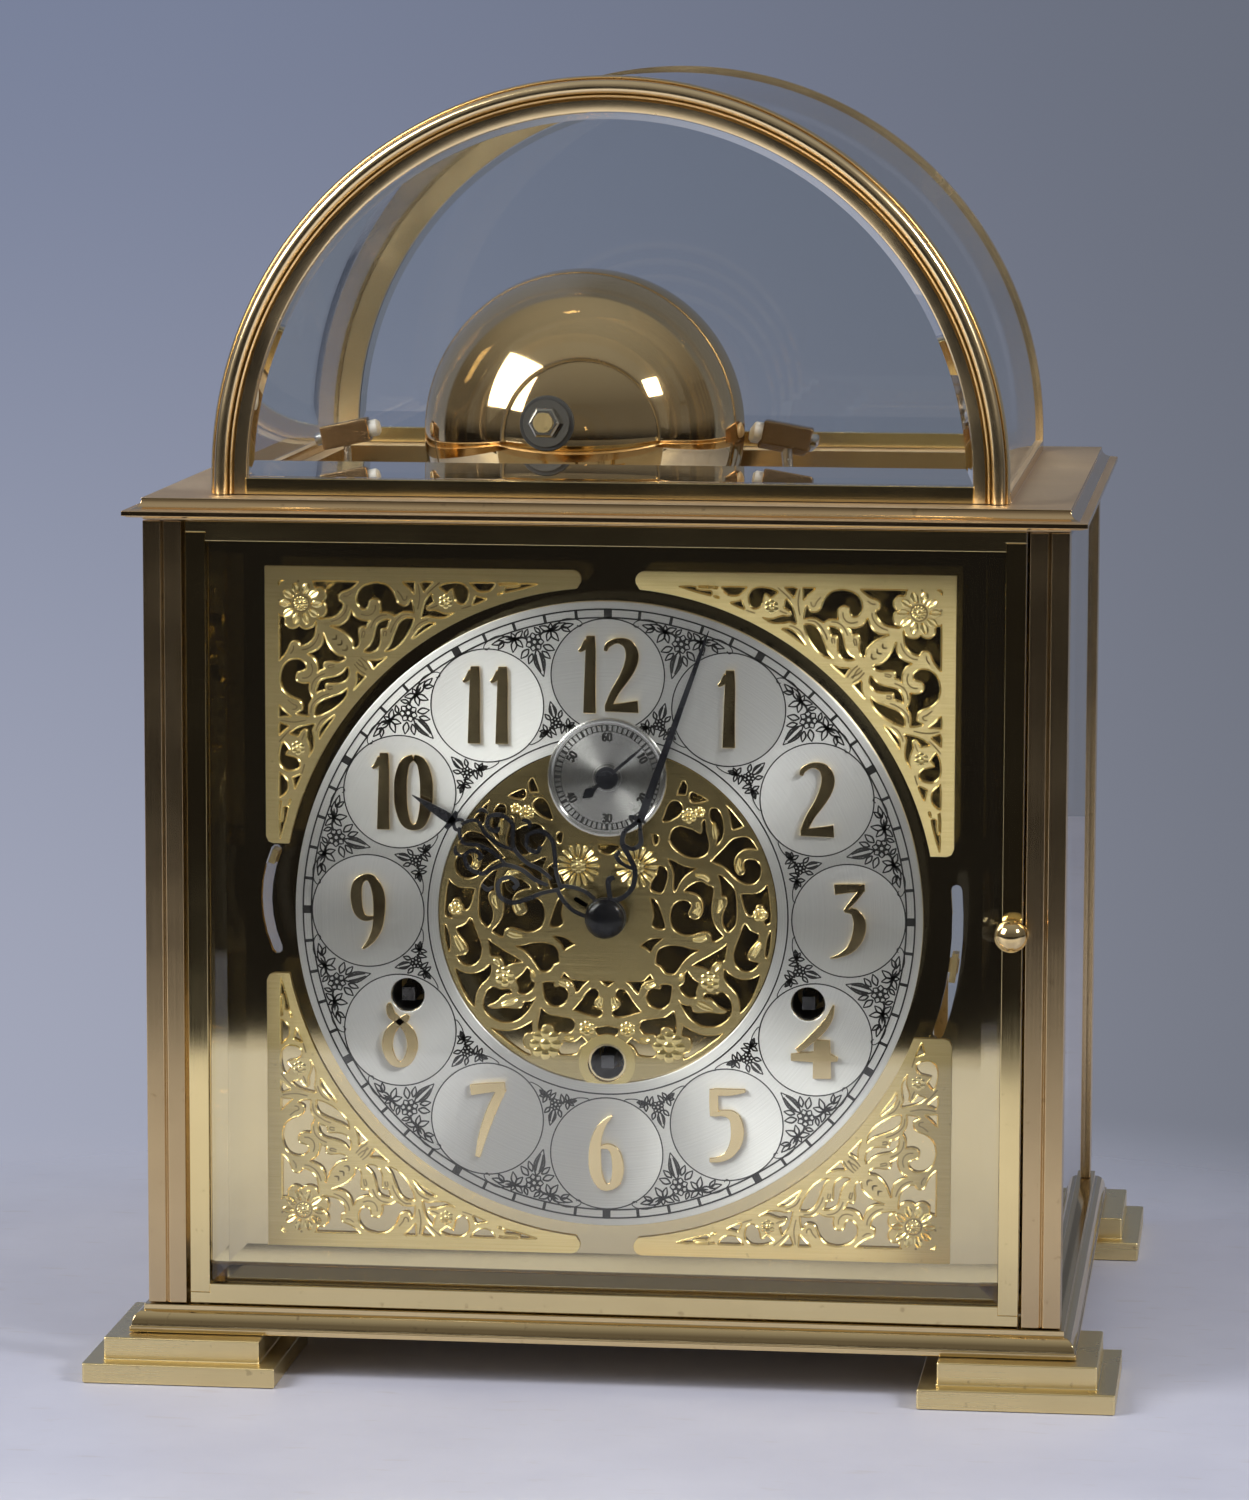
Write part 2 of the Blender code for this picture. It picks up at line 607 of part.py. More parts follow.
def dial():
    """Mirror plate with slots, riveted feet and lever pivots; ring, centre and seconds plates on it."""
    at = (0.0, 0.0, DIAL_Z)
    pipe_hole = HOUR_PIPE + RUNNING
    seconds = (0.0, SECONDS_RISE)
    half = HALF_W - PILLAR_SIZE - FIT
    bottom, top = PILLAR_BOTTOM - DIAL_Z, PILLAR_TOP - DIAL_Z
    winding = [circle(WINDING_HOLE, 14, spot) for spot in winding_places().values()]
    arbors = [circle(pipe_hole, 16), circle(ARBOR + RUNNING, 10, seconds)]
    silent = (SILENT_PIVOT_X, SILENT_PIVOT_RISE)
    slots = [slot_outline(silent, SILENT_RADIUS, SILENT_FROM, SILENT_TO)]
    slots.append(slot_outline((0.0, 0.0), MELODY_RADIUS, MELODY_FROM, MELODY_TO))
    edge = [(-half, bottom), (half, bottom), (half, top), (-half, top)]
    plate = node("dial_plate", slab([edge] + winding + arbors + slots, DIAL_FACE, DIAL_BACK), MIRROR, at)
    inside = DIAL_BACK - DIAL_THICKNESS / 2
    for index, (x, z) in enumerate(dial_feet_places()):
        foot = rod(DIAL_FOOT_RADIUS, inside, PLATE_FRONT - FIT, 12)
        combine(plate, "UNION", f"dial_foot_{index}", foot, at=(x, 0.0, z))
    end = DIAL_BACK + LEVER_THICKNESS + 2 * FIT
    combine(plate, "UNION", "melody_boss", tube(pipe_hole + FIT, MELODY_BOSS, inside, end, 16))
    stud = rod(SILENT_STUD, inside, end, 12)
    combine(plate, "UNION", "silent_stud", stud, at=(silent[0], 0.0, silent[1]))

    ring_back = DIAL_FACE - FIT
    ring_face = ring_back - CHAPTER_THICKNESS
    ring = [circle(CHAPTER_RADIUS, 60), circle(CHAPTER_INNER, 40)] + winding[1:]
    node("chapter_ring", slab(ring, ring_face, ring_back), SILVER, at)
    centre = [circle(CENTRE_RADIUS, 40), winding[0]] + arbors
    node("dial_centre", slab(centre, ring_back - CENTRE_THICKNESS, ring_back), GILT, at)
    seconds_back = ring_face - FIT
    rings = [circle(SECONDS_RADIUS, 32), circle(ARBOR + RUNNING, 10)]
    seconds_at = (0.0, 0.0, DIAL_Z + SECONDS_RISE)
    node("seconds_dial", slab(rings, seconds_back - SECONDS_THICKNESS, seconds_back), SILVER, seconds_at)


def spandrels():
    """Four corner plates with a hollow side that follows the chapter ring."""
    half, radius = SPANDREL_HALF, SPANDREL_ARC
    back = DIAL_FACE - FIT
    for row, z_side in (("upper", 1), ("lower", -1)):
        for side, x_side in (("left", -1), ("right", 1)):
            beside_slot = row == "lower" and side == "right"
            gap_z = SPANDREL_GAP_LEVER if beside_slot else SPANDREL_GAP_Z
            start, end = asin(gap_z / radius), pi / 2 - asin(SPANDREL_GAP_X / radius)
            outline = [(half, half), (SPANDREL_GAP_X, half)] + arc(radius, end, start, 14) + [(half, gap_z)]
            outline = [(x_side * x, z_side * z) for x, z in outline]
            plate = slab([outline], back - SPANDREL_THICKNESS, back)
            node(f"spandrel_{row}_{side}", plate, GILT, (0.0, 0.0, DIAL_Z))


def hand_outline(length, stations, angle, hole):
    """A hand pointing at a clock angle: round hub, then half widths at shares of its length."""
    hub = HAND_HUB
    start = asin(stations[0][1] / hub)
    points = arc(hub, pi / 2 + start, 5 * pi / 2 - start, 16)
    right = [(width, share * length) for share, width in stations]
    points += right[1:] + [(0.0, length)] + [(-x, z) for x, z in reversed(right[1:])]
    turn = [(x * cos(angle) + z * sin(angle), z * cos(angle) - x * sin(angle)) for x, z in points]
    return [turn, circle(hole, 12)]


def hand_faces():
    """Front faces of the second, hour and minute hands and of the nut's seat, from the dial outwards."""
    seconds_dial = DIAL_FACE - 2 * FIT - CHAPTER_THICKNESS - SECONDS_THICKNESS
    step = HAND_THICKNESS + HAND_GAP
    second = seconds_dial - step
    return second, second - step, second - 2 * step


def hands():
    """Black hands at the photographed time; each turns about its own arbor."""
    second_face, hour_face, minute_face = hand_faces()
    at = (0.0, 0.0, DIAL_Z)
    thick = HAND_THICKNESS
    bore = HOUR_PIPE + FIT
    shape = hand_outline(HOUR_LENGTH, HOUR_WIDTHS, HOUR_ANGLE, bore)
    node("hour_hand", slab(shape, hour_face, hour_face + thick), BLACK, at)
    shape = hand_outline(MINUTE_LENGTH, MINUTE_WIDTHS, MINUTE_ANGLE, CENTRE_ARBOR + FIT)
    node("minute_hand", slab(shape, minute_face, minute_face + thick), BLACK, at)
    nut_back = minute_face - FIT
    nut = [(0.0, nut_back)]
    nut += [(HAND_HUB * x, nut_back - HAND_NUT_HEIGHT * z) for x, z in arc(1.0, 0.0, pi / 2, 4)[:-1]]
    nut.append((0.0, nut_back - HAND_NUT_HEIGHT))
    node("hand_nut", turned(nut, 20), BLACK, at)
    hub, half, wide = SECOND_HUB, SECOND_WIDTH / 2, SECOND_TAIL_WIDTH / 2
    spread = asin(half / hub)
    neck, waist = SECOND_LENGTH - SECOND_POINT, SECOND_POINT - SECOND_TAIL
    points = [(half, neck), (0.0, SECOND_LENGTH), (-half, neck)]
    points += arc(hub, pi / 2 + spread, 3 * pi / 2 - spread, 6)
    points += [(-wide, waist), (0.0, -SECOND_TAIL), (wide, waist)]
    points += arc(hub, -pi / 2 + spread, pi / 2 - spread, 6)
    angle = SECOND_ANGLE
    turn = [(x * cos(angle) + z * sin(angle), z * cos(angle) - x * sin(angle)) for x, z in points]
    bore = ARBOR + FIT
    shape = slab([turn, circle(bore, 10)], second_face, second_face + thick)
    node("second_hand", shape, BLACK, (0.0, 0.0, DIAL_Z + SECONDS_RISE))


def lever(name, pivot, bore, radius, angle, tip_length):
    """A flat lever behind the dial with a tip bent forward through its slot."""
    low = DIAL_BACK + FIT
    high = low + LEVER_THICKNESS
    at = (pivot[0], 0.0, DIAL_Z + pivot[1])
    obj = node(name, tube(bore, bore + LEVER_ARM, low, high, 20), BRASS, at)
    along = (cos(angle), sin(angle))
    across = (-sin(angle), cos(angle))

    def bar(start, end, half, y_low, y_high):
        corners = [(start, -half), (end, -half), (end, half), (start, half)]
        outline = [(along[0] * r + across[0] * s, along[1] * r + across[1] * s) for r, s in corners]
        return slab([outline], y_low, y_high)

    inner = bore + LEVER_ARM / 2
    outer = radius + LEVER_TIP / 2
    middle = (low + high) / 2
    arm_low, arm_high = low + LEVER_SKIM, high - LEVER_SKIM
    combine(obj, "UNION", f"{name}_arm", bar(inner, outer, LEVER_ARM / 2, arm_low, arm_high))
    tip = bar(radius - LEVER_TIP / 2, outer - FIT, tip_length / 2, DIAL_FACE - LEVER_PROUD, middle)
    combine(obj, "UNION", f"{name}_tip", tip)


def levers():
    silent = (SILENT_PIVOT_X, SILENT_PIVOT_RISE)
    lever("silent_lever", silent, SILENT_STUD + RUNNING, SILENT_RADIUS, SILENT_AT, SILENT_TIP)
    lever("melody_lever", (0.0, 0.0), MELODY_BOSS + RUNNING, MELODY_RADIUS, MELODY_AT, MELODY_TIP)


def train_places():
    """Arbor places in the XZ plane from the dial centre, worked out from the wheels that mesh."""
    places = dict(winding_places())
    places["centre"] = (0.0, 0.0)
    places["seconds"] = (0.0, SECONDS_RISE)
    first = CENTRE_MODULE * (CENTRE_TEETH + THIRD_PINION) / 2
    second = THIRD_MODULE * (THIRD_TEETH + ESCAPE_PINION) / 2
    z = (first ** 2 - second ** 2 + SECONDS_RISE ** 2) / (2 * SECONDS_RISE)
    places["third"] = (sqrt(first ** 2 - z ** 2), z)
    reach = SIDE_MODULE * (SIDE_TEETH + DRUM_PINION) / 2
    chime = places["chime"]
    places["drum"] = (chime[0] + reach * cos(DRUM_BEARING), chime[1] + reach * sin(DRUM_BEARING))
    reach = CANNON_MODULE * (CANNON_TEETH + MINUTE_TEETH) / 2
    places["minute"] = (reach * cos(MINUTE_BEARING), reach * sin(MINUTE_BEARING))
    return places


def bearing(start, end):
    return atan2(end[1] - start[1], end[0] - start[0])


def mesh_phases(driver, driven, driven_teeth):
    """First-tooth angles that put a tooth of the driver in a gap of the driven wheel."""
    angle = bearing(driver, driven)
    return angle, angle + pi + pi / driven_teeth


def place(at):
    return (at[0], 0.0, DIAL_Z + at[1])


def movement_plates():
    """Two plates; the rear one carries the riveted pillars and the hammer and balance studs."""
    places = train_places()
    half = PLATE_HALF_WIDTH
    edge = [(-half, -PLATE_DROP), (half, -PLATE_DROP), (half, PLATE_RISE), (-half, PLATE_RISE)]
    holes = [circle(BARREL_ARBOR + RUNNING, 16, places[name]) for name in ("going", "strike", "chime")]
    holes += [circle(CENTRE_ARBOR + RUNNING, 14)]
    holes += [circle(ARBOR + RUNNING, 10, places[name]) for name in ("third", "seconds", "drum")]
    front = slab([edge] + holes, PLATE_FRONT, PLATE_FRONT_BACK)
    front = node("front_movement_plate", front, BRASS, (0.0, 0.0, DIAL_Z))
    inside = PLATE_FRONT_BACK - PLATE_THICKNESS / 2
    stud = rod(MINUTE_STUD, motion_levels()["hour_front"] - FIT, inside, 10)
    combine(front, "UNION", "minute_stud", stud, at=(places["minute"][0], 0.0, places["minute"][1]))

    rear = slab([edge] + holes, PLATE_REAR, PLATE_REAR_BACK)
    rear = node("rear_movement_plate", rear, BRASS, (0.0, 0.0, DIAL_Z))
    inside = PLATE_REAR + PLATE_THICKNESS / 2
    inset = MOVEMENT_PILLAR * 2
    corners = [(x, z) for x in (inset - half, half - inset) for z in (inset - PLATE_DROP, PLATE_RISE - inset)]
    for index, (x, z) in enumerate(corners):
        pillar = rod(MOVEMENT_PILLAR, PLATE_FRONT_BACK + FIT, inside, 12)
        combine(rear, "UNION", f"movement_pillar_{index}", pillar, at=(x, 0.0, z))
    bells = bell_centres()
    last = bells[-1].y + BELL_SKIRT + HAMMER_WIDTH
    arbor = rod(HAMMER_STUD, inside, last, 12)
    at = (CHIME_PIVOT_X, 0.0, PLATE_RISE - CHIME_PIVOT_DROP)
    combine(rear, "UNION", "chime_hammer_arbor", arbor, at=at)
    arbor = rod(HAMMER_STUD, inside, bells[0].y + BELL_SKIRT + HAMMER_WIDTH, 12)
    at = (HOUR_PIVOT_X, 0.0, PLATE_RISE - HOUR_PIVOT_DROP)
    combine(rear, "UNION", "hour_hammer_stud", arbor, at=at)
    stud = rod(ARBOR, inside, PLATE_REAR_BACK + 3 * WHEEL_THICKNESS, 10)
    combine(rear, "UNION", "balance_stud", stud, at=(BALANCE_X, 0.0, BALANCE_RISE))


def train_levels():
    """Front faces of the wheels between the plates, from the front plate to the rear one."""
    great = PLATE_FRONT_BACK + 2 * WHEEL_THICKNESS
    barrel = great + GREAT_WHEEL_THICKNESS
    centre = barrel + GOING_BARREL_LENGTH + PINION_LENGTH
    third = centre + PINION_LENGTH
    escape = third + PINION_LENGTH
    side_barrel = great
    side_great = side_barrel + SIDE_BARREL_LENGTH
    return {"great": great, "barrel": barrel, "centre": centre, "third": third, "escape": escape,
            "side_barrel": side_barrel, "side_great": side_great}


def motion_levels():
    """Faces of the motion work in front of the front plate, and where the hour pipe ends."""
    cannon_back = PLATE_FRONT - 1.5 * WHEEL_THICKNESS
    cannon_front = cannon_back - WHEEL_THICKNESS
    hour_back = cannon_front - WHEEL_THICKNESS
    hour_front = hour_back - WHEEL_THICKNESS
    return {"cannon_back": cannon_back, "cannon_front": cannon_front,
            "hour_back": hour_back, "hour_front": hour_front}


def barrels():
    """Spring barrels with their great wheels and winding squares."""
    places, levels = train_places(), train_levels()
    arbor_front, arbor_back = PLATE_FRONT - PLATE_THICKNESS, PLATE_REAR_BACK - FIT
    square_front = DIAL_FACE + FIT
    square = WINDING_SQUARE / 2
    drive = mesh_phases(places["going"], places["centre"], GOING_PINION)[0]
    chime = mesh_phases(places["chime"], places["drum"], DRUM_PINION)[0]
    going_module = 2 * MIDDLE_WINDING_DROP / (GOING_TEETH + GOING_PINION)
    shapes = {
        "going": (GOING_BARREL_RADIUS, levels["barrel"], GOING_BARREL_LENGTH, GOING_TEETH, going_module,
                  drive, levels["great"]),
        "strike": (SIDE_BARREL_RADIUS, levels["side_barrel"], SIDE_BARREL_LENGTH, SIDE_TEETH, SIDE_MODULE,
                   0.0, levels["side_great"]),
        "chime": (SIDE_BARREL_RADIUS, levels["side_barrel"], SIDE_BARREL_LENGTH, SIDE_TEETH, SIDE_MODULE,
                  chime, levels["side_great"]),
    }
    for name, (radius, front, length, teeth, module, phase, wheel) in shapes.items():
        middle = wheel + GREAT_WHEEL_THICKNESS / 2
        low, high = min(front, middle), max(front + length, middle)
        profile = [(0.0, arbor_front), (BARREL_ARBOR, arbor_front), (BARREL_ARBOR, low), (radius, low)]
        profile += [(radius, high), (BARREL_ARBOR, high), (BARREL_ARBOR, arbor_back), (0.0, arbor_back)]
        obj = node(f"{name}_barrel", turned(profile), BRASS, place(places[name]))
        outline = gear_outline(teeth, module, phase)
        combine(obj, "UNION", f"{name}_great_wheel", slab([outline], wheel, wheel + GREAT_WHEEL_THICKNESS))
        end = block((-square, square_front, -square), (square, PLATE_FRONT - PLATE_THICKNESS / 2, square))
        combine(obj, "UNION", f"{name}_winding_square", end)


def going_train():
    """Centre, third and escape arbors with their wheels and pinions."""
    places, levels = train_places(), train_levels()
    back = PLATE_REAR_BACK - FIT
    front = PLATE_FRONT + FIT
    motion = motion_levels()
    minute_face = hand_faces()[2]
    going_module = 2 * MIDDLE_WINDING_DROP / (GOING_TEETH + GOING_PINION)
    pinion_phase = mesh_phases(places["going"], places["centre"], GOING_PINION)[1]
    wheel_phase, third_pinion = mesh_phases(places["centre"], places["third"], THIRD_PINION)
    third_phase, escape_pinion = mesh_phases(places["third"], places["seconds"], ESCAPE_PINION)
    cannon_phase = mesh_phases(places["centre"], places["minute"], MINUTE_TEETH)[0]

    centre = node("centre_wheel", rod(CENTRE_ARBOR, minute_face, back, 12), BRASS, place(places["centre"]))
    great = levels["great"]
    shapes = {
        "centre_pinion": (GOING_PINION, going_module, pinion_phase, great - FIT,
                          great + GREAT_WHEEL_THICKNESS + FIT),
        "centre_rim": (CENTRE_TEETH, CENTRE_MODULE, wheel_phase, levels["centre"],
                       levels["centre"] + WHEEL_THICKNESS),
        "cannon_pinion": (CANNON_TEETH, CANNON_MODULE, cannon_phase, motion["cannon_front"] - FIT,
                          motion["cannon_back"] + FIT),
    }
    for name, (teeth, module, phase, low, high) in shapes.items():
        combine(centre, "UNION", name, slab([gear_outline(teeth, module, phase)], low, high))

    third = node("third_wheel", rod(ARBOR, front, back, 8), BRASS, place(places["third"]))
    outline = gear_outline(THIRD_PINION, CENTRE_MODULE, third_pinion)
    low = levels["centre"] - FIT
    combine(third, "UNION", "third_pinion", slab([outline], low, levels["centre"] + WHEEL_THICKNESS + FIT))
    outline = gear_outline(THIRD_TEETH, THIRD_MODULE, third_phase)
    low = levels["third"]
    combine(third, "UNION", "third_rim", slab([outline], low, low + WHEEL_THICKNESS))

    second_face = hand_faces()[0]
    escape = node("escape_wheel", rod(ARBOR, second_face, back, 8), BRASS, place(places["seconds"]))
    outline = gear_outline(ESCAPE_PINION, THIRD_MODULE, escape_pinion)
    low = levels["third"] - FIT
    combine(escape, "UNION", "escape_pinion", slab([outline], low, levels["third"] + WHEEL_THICKNESS + FIT))
    outline = gear_outline(ESCAPE_TEETH, 2 * ESCAPE_RADIUS / ESCAPE_TEETH, 0.0)
    low = levels["escape"]
    combine(escape, "UNION", "escape_rim", slab([outline], low, low + WHEEL_THICKNESS / 2))


def motion_work():
    """Minute wheel on its stud, and the hour wheel whose pipe carries the hour hand."""
    places, motion = train_places(), motion_levels()
    hour_module = CANNON_MODULE * (CANNON_TEETH + MINUTE_TEETH) / (MINUTE_PINION + HOUR_TEETH)
    minute_phase = mesh_phases(places["centre"], places["minute"], MINUTE_TEETH)[1]
    pinion_phase, hour_phase = mesh_phases(places["minute"], places["centre"], HOUR_TEETH)
    bore = MINUTE_STUD + RUNNING
    outline = gear_outline(MINUTE_TEETH, CANNON_MODULE, minute_phase)
    wheel = slab([outline, circle(bore, 12)], motion["cannon_front"], motion["cannon_back"])
    minute = node("minute_wheel", wheel, BRASS, place(places["minute"]))
    outline = gear_outline(MINUTE_PINION, hour_module, pinion_phase)
    overlap = (motion["cannon_front"] + motion["cannon_back"]) / 2
    pinion = slab([outline, circle(bore, 12)], motion["hour_front"] - FIT, overlap)
    combine(minute, "UNION", "minute_pinion", pinion)

    bore = CENTRE_ARBOR + RUNNING
    outline = gear_outline(HOUR_TEETH, hour_module, hour_phase)
    wheel = slab([outline, circle(bore, 16)], motion["hour_front"], motion["hour_back"])
    hour = node("hour_wheel", wheel, BRASS, place(places["centre"]))
    overlap = (motion["hour_front"] + motion["hour_back"]) / 2
    combine(hour, "UNION", "hour_pipe", tube(bore, HOUR_PIPE, hand_faces()[1], overlap, 16))


def balance():
    """Balance wheel with two arms, turning on its stud behind the rear plate."""
    low = PLATE_REAR_BACK + WHEEL_THICKNESS
    high = low + WHEEL_THICKNESS
    at = (BALANCE_X, 0.0, DIAL_Z + BALANCE_RISE)
    bore = ARBOR + RUNNING
    inner = BALANCE_RADIUS - BALANCE_RIM
    hub = bore + BALANCE_RIM / 2
    half = BALANCE_RIM / 2
    gap_in, gap_out = asin(half / hub), asin(half / inner)
    holes = [circle(bore, 12)]
    for start in (0.0, pi):
        rim = arc(inner, start + gap_out, start + pi - gap_out, 12)
        holes.append(rim + arc(hub, start + pi - gap_in, start + gap_in, 6))
    node("balance_wheel", slab([circle(BALANCE_RADIUS, 32)] + holes, low, high), GILT, at)


def chime_drum():
    """Pin drum behind the rear plate, driven by the chime barrel's great wheel."""
    places, levels = train_places(), train_levels()
    phase = mesh_phases(places["chime"], places["drum"], DRUM_PINION)[1]
    end = PLATE_REAR_BACK + 2 * WHEEL_THICKNESS + DRUM_LENGTH
    front, body, cap = PLATE_FRONT + FIT, end - DRUM_LENGTH, end - WHEEL_THICKNESS
    profile = [(0.0, front), (ARBOR, front), (ARBOR, body), (DRUM_RADIUS, body)]
    profile += [(DRUM_RADIUS, cap), (ARBOR, cap), (ARBOR, end), (0.0, end)]
    obj = node("chime_drum", turned(profile, 20), BRASS, place(places["drum"]))
    outline = gear_outline(DRUM_PINION, SIDE_MODULE, phase)
    low = levels["side_great"] - FIT
    pinion = slab([outline], low, levels["side_great"] + GREAT_WHEEL_THICKNESS + FIT)
    combine(obj, "UNION", "drum_pinion", pinion)


def bell_back():
    """Unit vector along the bells' common axis, from the nut towards the stand."""
    flat = cos(BELL_TILT)
    return Vector((sin(BELL_YAW) * flat, cos(BELL_YAW) * flat, -sin(BELL_TILT)))


def bell_centres():
    """Middle of each bell's mouth, the hour bell first."""
    first = Vector((BELL_X, -HALF_D + BELL_SETBACK, CORNICE_TOP + BELL_RISE))
    return [first + bell_back() * BELL_STEP * i for i in range(CHIME_BELLS + 1)]


def bell_radius(index):
    return BELL_RADIUS - BELL_SHRINK * index


def bells():
    """Nested hemispheres on one stepped spindle, held by a nut in front and a stand behind."""
    axis = bpy.data.objects.new("bell_axis", None)
    bpy.context.collection.objects.link(axis)
    axis.location = bell_centres()[0]
    axis.rotation_euler = (-BELL_TILT, 0.0, -BELL_YAW)
    crowns = []
    for i in range(CHIME_BELLS + 1):
        outer = bell_radius(i)
        inner = outer - BELL_WALL
        hole = SPINDLE_RADIUS + i * SPINDLE_STEP + FIT
        steps = 6 if i == 0 else 4
        mouth = BELL_STEP * i
        dome = [(x, mouth - y) for x, y in arc(outer, pi / 2 - asin(hole / outer), 0.0, steps)]
        hollow = [(x, mouth - y) for x, y in arc(inner, 0.0, pi / 2 - asin(hole / inner), steps)]
        skirt = [(outer, mouth + BELL_SKIRT), (inner, mouth + BELL_SKIRT)]
        name = "hour_bell" if i == 0 else f"chime_bell_{i}"
        sides = 32 if i == 0 else 20
        node(name, turned(dome + skirt + hollow, sides, closed=True), MIRROR, parent=axis)
        crowns.append(hollow[-1][1])
    front = -bell_radius(0) - NUT_HEIGHT - SPINDLE_PROUD
    profile = [(0.0, front), (SPINDLE_RADIUS, front)]
    for i, crown in enumerate(crowns):
        profile.append((SPINDLE_RADIUS + i * SPINDLE_STEP, crown + FIT))
        profile.append((SPINDLE_RADIUS + (i + 1) * SPINDLE_STEP, crown + FIT))
    profile += [(SPINDLE_RADIUS + len(crowns) * SPINDLE_STEP, SPINDLE_TAIL), (0.0, SPINDLE_TAIL)]

    tail = bell_centres()[0] + bell_back() * (SPINDLE_TAIL - STAND_BAR / 2)
    half = STAND_BAR / 2
    arm_bottom = PLATE_TOP - STAND_DROP
    low = (tail.x - half, tail.y - half, arm_bottom)
    stand = node("bell_stand", block(low, (tail.x + half, tail.y + half, tail.z + STAND_BAR)), BRASS)
    start = PLATE_REAR_BACK + FIT
    arm = STAND_ARM / 2
    low = (tail.x - arm, start + half / 4, arm_bottom + half / 8)
    high = (tail.x + arm, tail.y, arm_bottom + STAND_BAR)
    combine(stand, "UNION", "stand_arm", block(low, high))
    low = (tail.x - STAND_BAR, start, arm_bottom - half)
    high = (tail.x + STAND_BAR, start + half / 2, PLATE_TOP - half)
    combine(stand, "UNION", "stand_foot", block(low, high))
    combine(stand, "UNION", "bell_spindle", turned(profile, 16), parent=axis)

    seat = -bell_radius(0) - FIT
    hexagon = [circle(NUT_RADIUS, 6), circle(SPINDLE_RADIUS + FIT, 12)]
    node("bell_nut", slab(hexagon, seat - NUT_HEIGHT, seat), BRASS, parent=axis)


def hammer(name, pivot, y, head, lean, toward, tail=None):
    """Hub on its arbor, wire shaft, and a head with a soft tip; toward is 1 if it strikes to +X."""
    head = Vector((head[0] - pivot[0], 0.0, head[1] - pivot[1]))
    at = (pivot[0], y, pivot[1])
    bore, hub = HAMMER_STUD + RUNNING, HAMMER_HUB_WIDTH / 2
    obj = node(name, tube(bore, HAMMER_HUB, -hub, hub, 12), BRASS, at)

    def strut(start, end, half, depth):
        along = (end - start).normalized()
        across = Vector((-along.z, 0.0, along.x)) * half
        corners = [start - across, end - across, end + across, start + across]
        return slab([[(corner.x, corner.z) for corner in corners]], -depth, depth)

    reach = (bore + HAMMER_HUB) / 2
    shaft = strut(head.normalized() * reach, head, HAMMER_SHAFT, HAMMER_SHAFT)
    combine(obj, "UNION", f"{name}_shaft", shaft)
    if tail is not None:
        end = Vector((tail[0], 0.0, tail[1]))
        lifted = strut(end.normalized() * reach, end, HAMMER_SHAFT, HAMMER_TAIL)
        combine(obj, "UNION", f"{name}_tail", lifted)
    along = Vector((cos(lean), 0.0, sin(lean)))
    half = along * HAMMER_LENGTH / 2
    block_head = strut(head - half, head + half, HAMMER_HEIGHT / 2, HAMMER_WIDTH / 2)
    combine(obj, "UNION", f"{name}_head", block_head)
    tip = head + toward * (half + along * HAMMER_TIP)
    screw = head - toward * (half + along * HAMMER_SCREW)
    striker = strut(screw, tip, HAMMER_TIP_HEIGHT / 2, HAMMER_TIP_WIDTH / 2)
    combine(obj, "UNION", f"{name}_tip", striker)


def hammers():
    """Four chime hammers on the right of the bells and the hour hammer on the left."""
    reach = HAMMER_LENGTH / 2 + HAMMER_TIP
    pivot = (CHIME_PIVOT_X, PLATE_TOP - CHIME_PIVOT_DROP)
    drum = train_places()["drum"]
    to_drum = Vector((drum[0] - pivot[0], DIAL_Z + drum[1] - pivot[1]))
    tail = to_drum.normalized() * (to_drum.length - DRUM_RADIUS - HAMMER_TAIL_GAP)
    for i, centre in enumerate(bell_centres()):
        x = centre.x + bell_radius(i) + CHIME_GAP + reach * cos(CHIME_LEAN)
        head = (x, centre.z + HAMMER_LENGTH / 2 * sin(CHIME_LEAN))
        y = centre.y + BELL_SKIRT / 2
        hammer(f"chime_hammer_{i + 1}", pivot, y, head, CHIME_LEAN, -1, tail)
    centre = bell_centres()[0]
    vault = HOOD_RADIUS - VAULT_INSET - VAULT_GLASS
    x = HOUR_CLEARANCE - vault + (HAMMER_LENGTH / 2 + HAMMER_SCREW) * cos(HOUR_LEAN)
    head = (x, centre.z - reach * sin(HOUR_LEAN))
    pivot = (HOUR_PIVOT_X, PLATE_TOP - HOUR_PIVOT_DROP)
    hammer("hour_hammer", pivot, centre.y + BELL_SKIRT / 2, head, HOUR_LEAN, 1)


feet()
base()
pillars()
cornice()
side_glass()
door("front_door", -1)
door("rear_door", 1)
arches()
vault()
dial()
spandrels()
hands()
levers()
movement_plates()
barrels()
going_train()
motion_work()
balance()
chime_drum()
bells()
hammers()
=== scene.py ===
"""The looks of the four-glass brass mantel clock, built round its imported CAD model.

Metres, +Z up, front towards -Y. Sections follow the clock as it is put together, from the feet up.
"""
import json
from math import asin, cos, pi, radians, sin, tau

import bmesh
import bpy
from mathutils import Matrix, Vector

